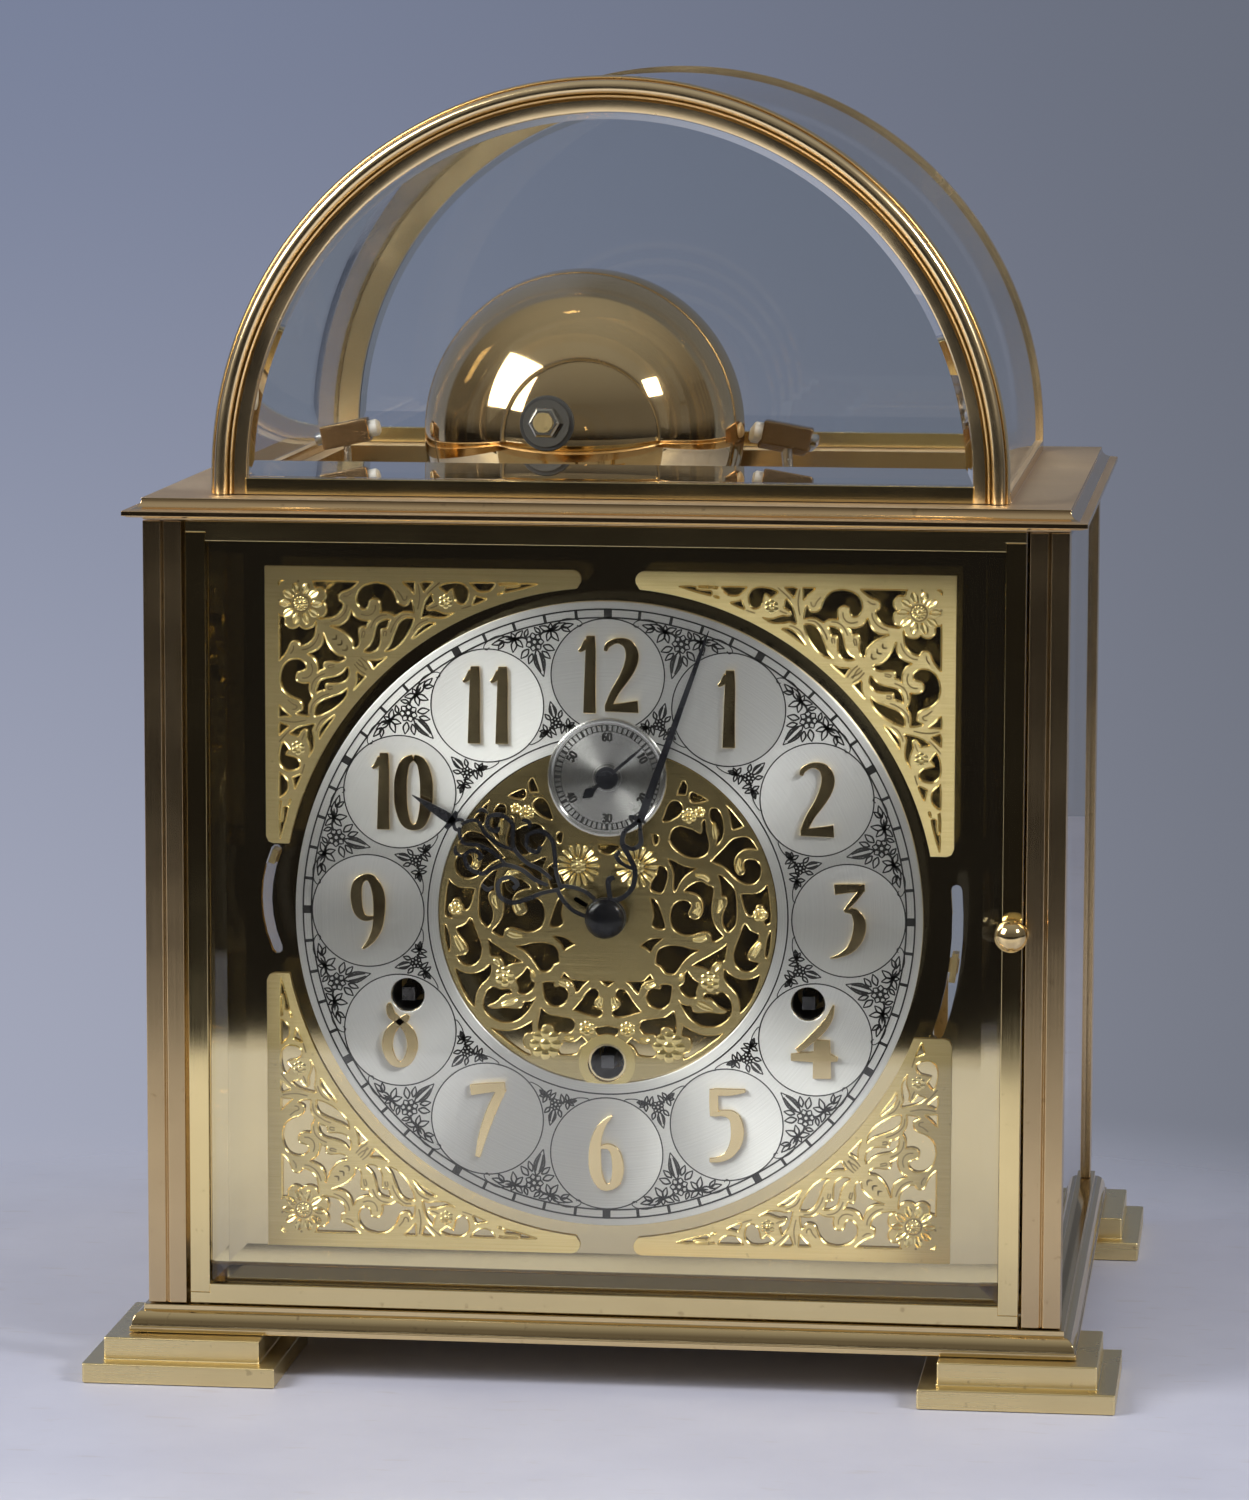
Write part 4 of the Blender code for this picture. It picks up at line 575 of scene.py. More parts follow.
for hour in range(12):
    x, z = clockwise(hour * 30.0)(0.0, HOUR_CIRCLE)
    hoop(ink, HOUR_RING, HOUR_RING + HOUR_LINE, PRINT_FACE, RING_BACK, (x, z), 72)
    place = clockwise(hour * 30.0 + 15.0)
    for leaves, lines, heart, size, tip in SPRAYS:
        for petal in range(SPRAY_PETALS):
            swing = clockwise(petal * 360.0 / SPRAY_PETALS, (0.0, heart))
            leaf(ink, swing(0.0, size * 0.32), swing(0.0, size), size * 0.62, place)
        hoop(ink, size * 0.18, size * 0.34, PRINT_FACE, RING_BACK, place(0.0, heart), 12)
        leaf(ink, (0.0, heart + 0.2 * (tip - heart)), (0.0, tip), size * 1.1, place)
        for side in (-1, 1):
            for start, end, width in leaves:
                leaf(ink, (start[0] * side, start[1]), (end[0] * side, end[1]), width, place)
            for points in lines:
                run = [(x * side, z, half) for x, z, half in points]
                stroke(ink, run, PRINT_FACE, RING_BACK, per=3, turn=place)
made("chapter_print", ink, INK, "case")

# Hour numerals
# Twelve raised numbers cut from brass sheet, polished on the face and bevelled at the edge, pinned
# through the ring in the middle of the hour circles.
NUMERAL_FACE = RING_FACE - 0.0009
NUMERAL_BACK = RING_FACE + 0.0002
NUMERAL_EDGE = 0.00016
STEP_APART = 0.00001
FIGURES = {
    "0": [[(0, 9.6, .9), (-2.2, 8.2, 1.4), (-3.4, 4, 1.75), (-3.6, 0, 1.8), (-3.4, -4, 1.75), (-2.2, -8.2, 1.4),
           (0, -9.6, .9), (2.2, -8.2, 1.4), (3.4, -4, 1.75), (3.6, 0, 1.8), (3.4, 4, 1.75), (2.2, 8.2, 1.4),
           (0, 9.6, .9)]],
    "1": [[(.4, 10.8, 1.2), (.4, 6, 1.45), (.2, -4, 1.6), (.15, -10.4, 1.75)],
          [(-2.9, 6.5, .4), (-1.6, 7.4, .8), (-.4, 9.4, 1)]],
    "2": [[(-4.2, 6.6, .5), (-3.6, 8.3, .8), (-1, 9.5, .8), (1.8, 8.6, 1.4), (3, 6, 1.8), (2.6, 3, 1.8),
           (1, -.4, 1.5), (-1.6, -4.4, 1.2), (-3.6, -8.8, 1)],
          [(-4.4, -8.9, 1), (0, -8.7, 1.3), (4.7, -8.4, 1.75)]],
    "3": [[(-3.9, 8.6, 1.5), (0, 9, 1.3), (4.4, 9.2, 1.1)], [(4, 9, .7), (1.6, 6, .8), (-1.2, 2.7, .4)],
          [(-1.2, 2.6, .3), (1.4, 2.6, 1.1), (3, -.2, 1.7), (2.7, -4, 1.7), (.8, -7.4, 1.2), (-2.2, -9.4, .6),
           (-4.9, -10.2, .25)]],
    "4": [[(5, 9.8, .3), (4, 6.5, .9), (1.8, 3.2, 1.2), (-2, -.6, 1), (-5, -3, .7)],
          [(-6.6, -4.8, 1), (-2, -4.6, 1.4), (2, -4.6, 1.6), (6.2, -5.1, .6)],
          [(1.9, .2, 2.2), (1.9, -5, 2.4), (1.9, -10.6, 2.5)]],
    "5": [[(-3.5, 10, 1.2), (-3.5, 6, 1.25), (-3.4, 2.4, 1.1)], [(-3.6, 9.2, 1), (1, 9.2, 1), (5.2, 9.7, .5)],
          [(-3.5, 2.7, .5), (-.8, 3.4, .9), (2, 2.4, 1.5), (3, -.8, 1.8), (2.7, -4.6, 1.7), (.8, -8, 1.2),
           (-2, -9.5, .8), (-4.6, -9.8, .6)]],
    "6": [[(1.5, 10.6, .3), (-.8, 8.4, .9), (-2.6, 4.8, 1.4), (-3.2, 0, 1.7), (-2.9, -5, 1.7),
           (-1.3, -8.6, 1.3), (.7, -9.2, 1), (2.6, -7.6, 1.4), (3.2, -4, 1.6), (2.6, 0, 1.4), (.8, 2, .9),
           (-1.8, 1.8, .5)]],
    "7": [[(-4.6, 8, 1.5), (0, 8.7, 1.4), (5, 9.2, 1.2)],
          [(4.2, 8.8, 1.3), (1.2, 2.4, 1.4), (-1.2, -4.6, 1.2), (-2.6, -10.6, .7)]],
    "8": [[(2.3, 4.3, .6), (1.6, 3.4, 1.1), (0, 2.4, 1), (-2.6, -.4, 1.4), (-3.5, -4.4, 1.5), (-2.2, -8.2, 1.3),
           (0, -9.5, .9), (2.2, -8.2, 1.3), (3.5, -4.4, 1.5), (2.6, -.4, 1.4), (0, 2.4, 1), (-2.2, 4.2, 1.2),
           (-2.9, 6.4, .9), (-2.9, 7.6, .4)]],
    "9": [[(-1.5, -10.6, .3), (.8, -8.4, .9), (2.6, -4.8, 1.4), (3.2, 0, 1.7), (2.9, 5, 1.7), (1.3, 8.6, 1.3),
           (-.7, 9.2, 1), (-2.6, 7.6, 1.4), (-3.2, 4, 1.6), (-2.6, 0, 1.4), (-.8, -2, .9), (1.8, -1.8, .5)]]}
SPREAD = {"10": (-4.6, 3.9), "11": (-3.7, 3.9), "12": (-5.0, 3.7)}
NUMERAL_BRASS = polished_brass("numeral_brass", (0.94, 0.74, 0.42), (0.82, 0.62, 0.32), 0.10, 0.2, 60.0)
numerals = bmesh.new()
for hour in range(1, 13):
    place = clockwise(0.0, clockwise(hour * 30.0)(0.0, HOUR_CIRCLE))
    for figure, shift in zip(str(hour), SPREAD.get(str(hour), (0.0,))):
        for layer, points in enumerate(FIGURES[figure]):
            drawn = [(x + shift, z, half) for x, z, half in points]
            stroke(numerals, drawn, NUMERAL_FACE - layer * STEP_APART, NUMERAL_BACK, turn=place)
numerals = made("hour_numerals", numerals, NUMERAL_BRASS, "case")
break_edges(numerals, NUMERAL_EDGE)

# Dial centre
# A round of gilt brass sheet sawn out into scrolls inside a plain rim, with chased flowers and curls and
# a fine lip round each opening. It lies on the dial plate, which shows dark between the stems.
GILT_LIGHT, GILT_DEEP = (0.86, 0.70, 0.36), (0.70, 0.54, 0.24)
GILT_SLANT, GILT_SWAY = 46.0, 0.1
GILT_STROKES, GILT_SMEARS = (30.0, 300.0, 2400.0), 30.0
CENTRE_FACE = -0.0906
ORNAMENT_BACK = -0.0897
CENTRE_RADIUS, CENTRE_BORE, SECONDS_BORE = 0.0462, 0.0046, 0.0022
CENTRE_EDGE, CHASED_EDGE = 0.00014, 0.00008
CENTRE_LIP, LIP_LIFT = 0.13, 0.00005
WELL, WELL_COLLAR, MIDDLE_DROP = 5.3, 7.8, 40.8
SECONDS_RISE = 38.1
PETALS_BEGIN, FLOWER_RISE = 0.4, 0.0005
# How far out and how high each ring of a flower is, from its boss to the ends of its petals
FLOWER_RINGS = ((0.0, 1.0), (0.16, 0.9), (0.3, 0.35), (0.34, 0.1), (0.5, 0.55), (0.7, 0.7), (0.88, 0.45),
                (1.0, 0.0))


def gilt_brass(name, smooth, rough, drawn_out, lean):
    """Gilt sheet brushed on the slant; drawn_out is how far the grain spreads a highlight, lean its angle."""
    material, tree, shader = finish(name, GILT_LIGHT, smooth, 1.0, Anisotropic=drawn_out)
    place = add(tree, "TexCoord").outputs["Object"]
    slanted = {"Vector": place, "Rotation": (0.0, radians(lean), 0.0), "Scale": GILT_STROKES}
    drawn = add(tree, "Mapping", slanted).outputs[0]
    grain = add(tree, "TexNoise", {"Vector": drawn, "Scale": 1.0, "Detail": 4.0, "Roughness": 0.7})
    streak = grain.outputs["Fac"]
    spot = add(tree, "Group", {"Scale": GILT_SMEARS}, node_tree=HANDLING_MARKS).outputs["Spot"]
    tone = blended(tree, ranged(tree, streak, -0.4, 1.3), GILT_DEEP, GILT_LIGHT)
    tone = blended(tree, ranged(tree, spot, 0.0, 0.3), tone, TARNISH)
    tree.links.new(tone, shader.inputs["Base Color"])
    tree.links.new(ranged(tree, streak, smooth, rough), shader.inputs["Roughness"])
    sway = vectors(tree, "MULTIPLY", grain.outputs["Color"], (GILT_SWAY, 0.0, GILT_SWAY))
    along = (cos(radians(lean)) - GILT_SWAY / 2, 0.0, sin(radians(lean)) - GILT_SWAY / 2)
    tree.links.new(vectors(tree, "ADD", sway, along), shader.inputs["Tangent"])
    bump = add(tree, "Bump", {"Height": streak, "Strength": 0.25, "Distance": GRAIN_DEPTH})
    tree.links.new(bump.outputs[0], shader.inputs["Normal"])
    return material


def flower(bm, centre, radius, petals, face, rise):
    """A domed flower with round petals and a boss, in millimetres from the dial centre."""
    steps = petals * 8
    rows = []
    for share, high in FLOWER_RINGS:
        row = []
        for i in range(steps if share else 1):
            angle = tau * i / steps
            reach, up, lobe = radius * share, high, abs(cos(petals * angle / 2))
            if share > PETALS_BEGIN:
                reach *= 0.76 + 0.24 * lobe ** 0.6
                up *= 0.35 + 0.65 * lobe ** 0.7
            x, z = centre[0] + reach * sin(angle), centre[1] + reach * cos(angle)
            row.append(bm.verts.new((x * MM, face - rise * up, DIAL_Z + z * MM)))
        rows.append(row)
    rows.append([bm.verts.new((vert.co.x, ORNAMENT_BACK, vert.co.z)) for vert in rows[-1]])
    banded(bm, rows)
    bm.faces.new(rows[-1])


def rounded(points):
    """A closed smooth outline in metres, through given points in millimetres."""
    return [(x * MM, z * MM) for x, z in curved(points + points[:1], 3)[:-1]]


CENTRE_OPENINGS = [
    [(5, -18.2), (8.8, -18), (10, -17.8), (11, -16.8), (11.8, -16), (12.3, -16.8), (12.8, -17.5),
     (11.8, -17.8), (10.3, -18.4), (9.4, -19.6), (8.8, -21), (8.4, -21.7), (7.9, -21.3), (7, -20.2),
     (6, -19)],
    [(2.2, -21.6), (2.5, -20.7), (3.2, -20.3), (4.4, -20.2), (5.4, -20.9), (6.2, -22), (6.9, -23.2),
     (7.8, -24.4), (8.8, -25.6), (9.5, -26.4), (8.5, -26.8), (6.5, -27.5), (4.4, -28.1), (2.5, -28.3),
     (1.5, -27.7), (1.1, -26.6), (2.1, -25.9), (3.1, -25.3), (3.5, -24.3), (3.1, -23.4), (2.4, -22.7)],
    [(10.6, -22), (11, -20.8), (11.9, -20), (13.2, -19.7), (14.2, -20), (14.7, -19.6), (14.5, -18.7),
     (17.6, -18.7), (17.8, -20), (17.6, -22.2), (17, -24), (15.9, -25.2), (14.4, -25.7), (13, -25.5),
     (11.6, -24.6), (10.8, -23.2)],
    [(8.8, -30.9), (8.9, -29.6), (9.9, -28.7), (11.8, -28.4), (14.1, -28), (15.9, -27.7), (17.2, -26.8),
     (18, -26), (18.5, -26.3), (18.8, -27.5), (19.2, -29.6), (19.2, -31.3), (18.8, -32.3), (18.2, -32.2),
     (17.9, -31.3), (17, -30.7), (16, -30.6), (15.1, -31), (14.7, -32), (14.4, -33), (13.3, -33.2),
     (12.8, -32.6), (11.8, -32.8), (10.3, -32.8), (9.4, -32)],
    [(5.3, -35.3), (6, -34.4), (6.9, -33.6), (7.5, -34), (8.4, -34.7), (9.7, -35.3), (11, -35.2),
     (11.9, -34.8), (12.2, -35.5), (13, -36.6), (13.5, -37.2), (13.5, -38.2), (12.8, -39), (10.5, -39),
     (8.4, -38.6), (7.8, -37.5), (6.9, -36.2)],
    [(20.7, -29.7), (21.8, -30.4), (23.5, -31.4), (25.9, -32.3), (28.2, -32.5), (30.2, -32.3), (32, -31.7),
     (31.2, -32.7), (28.8, -34.5), (26.8, -36.1), (25, -37.3), (23.4, -38.4), (21.8, -39.2), (21, -39.3),
     (20.9, -38.4), (21.3, -37.5), (22.4, -37.2), (23, -36), (23.1, -34.6), (22.6, -33.6), (21.8, -33.1),
     (20.7, -33.1), (20.4, -32.2), (20.5, -30.8)],
    [(19.7, -19), (20.6, -18.5), (21.1, -17.4), (21, -16.2), (21.5, -15.1), (22.1, -14.7), (22.8, -15.8),
     (23.8, -17), (25.2, -18), (24.9, -19.2), (24.5, -20.6), (24.6, -22), (23.6, -22.4), (22.2, -22.3),
     (20.9, -21.5), (20.1, -20.4)],
    [(19.6, -22.9), (20.4, -23.8), (21.8, -24.3), (23.2, -24.4), (23.3, -25.3), (24.1, -26.2), (26, -26.2),
     (28, -26), (30, -26.3), (31.8, -26.3), (32.8, -25.8), (31.5, -25.2), (30.2, -24.4), (29.2, -23.4),
     (28, -22.5), (26.4, -22.4), (26.3, -21.6), (26.8, -20.9), (28.2, -20.8), (29.6, -21), (30.6, -20.5),
     (31.8, -20.4), (33, -21.3), (33.9, -22.8), (34.4, -24.4), (34.2, -26.2), (33.3, -27.9), (31.8, -29.2),
     (30, -30.1), (28, -30.4), (25.9, -30.2), (24.1, -29.3), (22.5, -27.9), (21.2, -26.2), (20.2, -24.4)],
    [(31.8, -14.4), (32.5, -14.2), (33.2, -15), (34.7, -16.1), (36.5, -16.7), (38.5, -16.8), (40.6, -16.1),
     (41.9, -15.4), (41.6, -17), (41, -18.8), (40.3, -20.8), (39.2, -22.9), (38.1, -24.6), (36.9, -26),
     (36.4, -25.9), (36.3, -24.4), (36, -22.6), (35.3, -21), (34.2, -19.7), (33, -18.5), (32.2, -17.3),
     (31.8, -16.1)],
    [(34.4, -10), (34.7, -8.5), (35.3, -6.7), (36, -5), (36.6, -3.2), (37, -2.2), (37.6, -1.4), (38.4, -2),
     (39, -3), (40.2, -3.7), (41.4, -4.1), (41.6, -5), (41, -6.4), (39.7, -7.9), (38.8, -9.3), (38.5, -10.5),
     (39.1, -11.5), (40.3, -11.8), (41.6, -12.1), (41, -13.3), (39.7, -14.5), (38, -14.9), (36.5, -14.5),
     (35.3, -13.3), (34.6, -11.7)],
    [(45, -3.2), (44.8, -5.5), (44.6, -7.9), (44.1, -10), (43.7, -11), (43.2, -10.4), (43.1, -8.7),
     (43.4, -6.4), (43.9, -4.6), (44.5, -3.3)],
    [(13.1, -12.8), (13.3, -10.5), (14.2, -8.9), (15.8, -8.1), (17.8, -7.8), (20, -7.9), (21.8, -8.3),
     (23.8, -8.8), (25.4, -8.9), (24.4, -9.6), (22.9, -10.5), (21.4, -11.9), (20.3, -13.4), (19.4, -14.7),
     (18.6, -15.8), (17.5, -16.1), (16, -15.9), (15.1, -14.9), (14.4, -13.9), (13.4, -13.5)],
    [(23.2, -13.4), (24.4, -12.4), (26.5, -11.3), (28.5, -10.1), (30.3, -9), (31.8, -8), (32.7, -7.1),
     (32.9, -7.9), (32.6, -9.6), (32.3, -11.7), (31.8, -12.1), (31, -12.3), (30, -12.2), (29.1, -13),
     (28.5, -14.2), (28, -15), (27, -14.4), (25.6, -13.9), (24.1, -13.7)],
    [(17.1, -.9), (17.5, -2.5), (18.4, -4), (20, -4.9), (21.8, -5.3), (23.5, -5), (25, -4.5), (26.5, -4.1),
     (27.7, -4.4), (28.3, -5.2), (28.5, -6.7), (29.4, -6.7), (30.9, -5.9), (31.9, -5.1), (31.3, -4.3),
     (30.3, -3.2), (29.5, -2), (28.9, -.4), (28.6, 1.5), (28.7, 4), (29.1, 6.5), (29.1, 8.2), (28.4, 8.8),
     (27.6, 9), (26.6, 9.6), (25.4, 10), (23.8, 9.6), (22, 8.4), (20.9, 7.2), (21.7, 6.7), (23, 6.5),
     (24.5, 5.9), (25.6, 4.8), (26.1, 3.2), (25.9, 1.3), (25.2, 0), (24.1, -.5), (22.9, -.1), (22.2, .9),
     (22.6, 2), (23.1, 3.1), (22.6, 4.1), (21.3, 4.7), (19.6, 4.5), (18.4, 3.8), (17.5, 2.4), (17.1, .7)],
    [(30.1, 11.8), (30.9, 11.9), (32.1, 11), (33.4, 9.7), (34.5, 8.5), (35.1, 7), (35.4, 4.8), (35.5, 2.2),
     (35.5, 0), (35.1, -2.1), (34.2, -3.2), (33.4, -4), (32.6, -3.9), (31.7, -2.6), (31.3, -.9), (31.4, .7),
     (31.8, 2), (32.4, 3.2), (32.7, 4.7), (32.1, 5.8), (31.2, 5.8), (31, 6.6), (31, 8.2), (30.7, 9.7)],
    [(28.2, 15.4), (29.3, 16.6), (30.5, 17.9), (31.7, 19.1), (32.8, 20.4), (34, 21.6), (35.5, 22.2),
     (37.1, 22.5), (38.6, 22.2), (39.8, 21), (40.7, 19.5), (41, 18.7), (39.6, 18.9), (37.9, 18.9),
     (36.5, 18.3), (35.4, 17.2), (34.8, 16), (34.7, 14.4), (35.1, 13), (35.8, 12), (36.8, 12), (37.4, 12.7),
     (37.1, 13.8), (37, 15), (37.6, 16), (39, 16.4), (40.5, 16.1), (41.6, 15.2), (42.1, 13.6), (41.9, 12),
     (41.3, 10.5), (40.1, 9.5), (38.4, 9.1), (36.6, 9.6), (35.2, 10.5), (33.7, 12), (32.1, 13.5),
     (30.5, 14.4), (29.3, 14.8)],
    [(36.3, 6.6), (37.8, 6.9), (39.6, 6.8), (41.5, 7.3), (42.8, 8.3), (43.5, 9.3), (43.8, 8.9), (44.2, 6.8),
     (44.5, 4.4), (44.7, 2.4), (44.8, .4), (44.6, -1.1), (43.9, -1.6), (43, -1.9), (42.6, -1.4), (42.9, -.4),
     (43.8, .7), (43.6, 1.8), (42.9, 2.2), (42.4, 3.2), (41.8, 3.6), (40.8, 3.3), (40.5, 2.1), (40.2, 1.2),
     (39.5, .5), (38.5, .6), (37.8, 1.5), (37.2, 2.9), (36.8, 4.7)],
    [(32.3, 31), (33.3, 30.1), (34.7, 28.5), (36.1, 26.7), (37.2, 25.2), (35.9, 24.6), (34.5, 24.1),
     (33.8, 24.7), (33.5, 26.6), (33, 28.8)],
    [(28.2, 30), (29.6, 30.2), (30.5, 29.4), (31.3, 27.9), (31.8, 25.7), (31.8, 23.5), (31.3, 21.6),
     (30.2, 20.1), (29.6, 19.7), (29.6, 20.7), (29.9, 22), (30.2, 23.5), (29.6, 24.5), (29, 25.4),
     (28.1, 26.6), (27.8, 27.9), (27.8, 29.2)],
    [(16.8, 21), (17, 22.5), (17.6, 23.8), (18.7, 24.7), (20, 25.1), (21.4, 24.7), (23, 24.3), (24.3, 23.6),
     (25.4, 23), (25.8, 24.3), (25.6, 25.7), (26, 26.5), (26.5, 27), (26.9, 26), (27, 24.4), (27.4, 22.5),
     (27.9, 20.4), (27.7, 18.5), (27, 17.2), (25.5, 16.4), (23.7, 16), (21.8, 16.3), (20.1, 17.1),
     (18.7, 18.2), (17.4, 19.5)],
    [(16, 29.9), (16.8, 31.2), (17.8, 32), (19.3, 31.9), (20.2, 31), (20.7, 29.9), (20.2, 28.5),
     (19.3, 27.6), (17.9, 26.6), (16.5, 26), (15.3, 25.8), (14.9, 26.6), (15.4, 28)],
    [(22.2, 33.2), (22.6, 31.7), (24, 31.3), (25.8, 31.6), (27.4, 32.2), (26, 33.2), (24.2, 34),
     (22.8, 34.5)],
    [(18.9, 33.4), (20.4, 33.4), (21.3, 33.4), (21.6, 34.6), (21.8, 36.2), (20.6, 37.6), (19.8, 36.2),
     (19.2, 34.8)],
    [(13.9, 14.1), (15.6, 13.8), (16.6, 12.2), (16.4, 9.9), (15.7, 7.7), (15, 6.4), (13.8, 6.2), (12.3, 6.7),
     (11.5, 7.7), (11.9, 9.5), (13, 11.1), (13.5, 12.6)],
    [(16.5, 15.9), (18, 15.6), (20.2, 14.4), (22.1, 13.8), (24.4, 13.5), (23.2, 12.6), (21.4, 11.3),
     (20, 9.5), (19.1, 7.7), (18.6, 6.8), (18, 7.2), (17.9, 9.1), (18, 11.3), (17.5, 13.5), (16.8, 14.8)],
    [(11.7, 5.2), (13, 4.8), (14, 3.4), (14.9, 1.1), (15.5, -.8), (16, -2.7), (15.3, -3.7), (13.9, -3.6),
     (12.8, -3.3), (12, -2), (12.5, -.5), (12.5, 1.1), (12.1, 3)],
    [(8.9, -8.3), (10.4, -7), (11.9, -6.2), (13.8, -5.9), (15.2, -6.1), (13.8, -7.4), (12.7, -8.5),
     (11.9, -10), (10.8, -9.3)],
    [(12.2, 22.6), (13.3, 22.8), (14.1, 21.9), (14, 20.4), (13.2, 19.4), (12.4, 20)]]
MIDDLE_OPENINGS = [
    [(-2, -18.1), (2, -18.1), (1, -19.1), (0, -19.8), (-1, -19.1)],
    [(0, -30.4), (1.2, -30.7), (2.6, -31), (3.4, -31.3), (3.1, -32.3), (2.5, -33.3), (1.2, -33.1),
     (0, -32.9), (-1.2, -33.1), (-2.5, -33.3), (-3.1, -32.3), (-3.4, -31.3), (-2.6, -31), (-1.2, -30.7)],
    [(-2.8, 19.6), (2.8, 19.6), (2.6, 18.2), (1.4, 17), (0, 16.6), (-1.4, 17), (-2.6, 18.2)]]
ROSETTE_AT, ROSETTE_PETALS = (8.0, 13.6), 16
ROSETTE_PETAL = [(0, 2.3, .22), (0, 3.8, .46), (0, 5.2, .6), (0, 5.9, .25)]
HEART_RADIUS, HEART_PETALS = 2.2, 6
HEART_LIFT, PETAL_LIFT, CURL_LIFT, COLLAR_LIFT = 0.0002, 0.0004, 0.00035, 0.00012
HEART_RISE, PETAL_GROOVE, CURL_GROOVE = 0.0003, 0.0002, 0.00022
CENTRE_FLOWERS = [(17.0, -36.0, 4.4, 8), (28.2, -17.6, 2.8, 6), (41.6, 1.0, 1.9, 5),
                  (5.6, -31.4, 2.2, 6), (22.2, 27.8, 2.2, 6), (25.2, 28.9, 1.6, 5)]
CENTRE_CURLS = [
    [(24.6, 4.2, .5), (25, 2.4, .8), (24.2, .8, 1.1)], [(23.4, -6.2, .5), (25.6, -6, .9), (27.2, -5.4, .7)],
    [(42, -6.6, .4), (40.8, -8.6, .9), (39.8, -10.4, .8)],
    [(24, 11.6, .4), (26.6, 11.2, .8), (27.8, 10, .6)],
    [(36.2, 16.4, .4), (35.8, 14.2, .7), (36.4, 12.9, .8)],
    [(29, 26, .3), (29.3, 23.6, .7), (29.4, 21.6, .4)], [(30.2, 1.4, .4), (31, 3.4, .8), (31, 5, .6)],
    [(1.4, -25.4, .4), (2, -24.4, .9), (1.6, -22.6, .5)],
    [(9.2, -34, .4), (10.6, -34.2, .7), (11.6, -33.8, .4)],
    [(29.6, -14.6, .4), (30.4, -13.4, .9), (31.2, -13.4, .5)],
    [(24.8, -23.6, .6), (26.4, -24.4, 1), (29, -25.4, .5)],
    [(10.6, -18.8, .4), (11.2, -19.4, .8), (13.2, -18.6, .6)],
    [(20.2, -17.6, .3), (20.2, -16.6, .6), (21, -15.4, .3)]]
GILT = gilt_brass("gilt_brass", 0.18, 0.28, 0.4, GILT_SLANT)
CHASED_GILT = polished_brass("chased_gilt", (1.0, 0.80, 0.36), (0.86, 0.64, 0.24), 0.20, 0.32, 60.0)
LIP_GILT = polished_brass("lip_gilt", (0.74, 0.56, 0.25), (0.54, 0.40, 0.16), 0.22, 0.34, 60.0)


def edging(name, outlines, half, lift, material):
    """A narrow raised lip round each opening; half is half its width in millimetres."""
    bm = bmesh.new()
    for outline in outlines:
        run = [(x / MM, z / MM, half) for x, z in outline[::2]]
        stroke(bm, run + run[:1], CENTRE_FACE - lift, ORNAMENT_BACK, 1.2 * lift, per=1)
    made(name, bm, material, "case")


centre = bmesh.new()
openings = [round_points(CENTRE_BORE, 32), round_points(SECONDS_BORE, 20, (0.0, SECONDS_RISE * MM)),
            round_points(WELL * MM, 40, (0.0, -MIDDLE_DROP * MM))]
bores = len(openings)
openings += [rounded(points) for points in MIDDLE_OPENINGS]
for side in (-1, 1):
    openings += [rounded([(side * x, z) for x, z in points]) for points in CENTRE_OPENINGS]
sheet_of(centre, [round_points(CENTRE_RADIUS, 144)] + openings, CENTRE_FACE, ORNAMENT_BACK)
centre = made("dial_centre_pierced", centre, GILT, "case")
break_edges(centre, CENTRE_EDGE)
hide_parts("dial_centre")
edging("dial_centre_edging", openings[bores:], CENTRE_LIP, LIP_LIFT, LIP_GILT)
relief = bmesh.new()
for side in (-1, 1):
    for x, z, radius, petals in CENTRE_FLOWERS:
        flower(relief, (side * x, z), radius, petals, CENTRE_FACE - LIP_LIFT, FLOWER_RISE)
    middle = (side * ROSETTE_AT[0], ROSETTE_AT[1])
    flower(relief, middle, HEART_RADIUS, HEART_PETALS, CENTRE_FACE - HEART_LIFT, HEART_RISE)
    for petal in range(ROSETTE_PETALS):
        spread = clockwise(petal * 360.0 / ROSETTE_PETALS, middle)
        stroke(relief, ROSETTE_PETAL, CENTRE_FACE - PETAL_LIFT, ORNAMENT_BACK, PETAL_GROOVE, turn=spread)
    for points in CENTRE_CURLS:
        run = [(side * x, z, half) for x, z, half in points]
        stroke(relief, run, CENTRE_FACE - CURL_LIFT, ORNAMENT_BACK, CURL_GROOVE)
hoop(relief, WELL + 0.1, WELL_COLLAR, CENTRE_FACE - COLLAR_LIFT, ORNAMENT_BACK, (0.0, -MIDDLE_DROP), 48)
relief = made("dial_centre_chasing", relief, CHASED_GILT, "case")
break_edges(relief, CHASED_EDGE)

# Seconds dial
# A small silvered disc brushed in circles with a raised rim, printed with sixty strokes and the tens.
# It is riveted over the top of the dial centre.
SECONDS_FACE = -0.0921
SECONDS_BACK = -0.0913
SECONDS_INK = SECONDS_FACE - 0.00004
SECONDS_AT = (0.0, SECONDS_RISE)
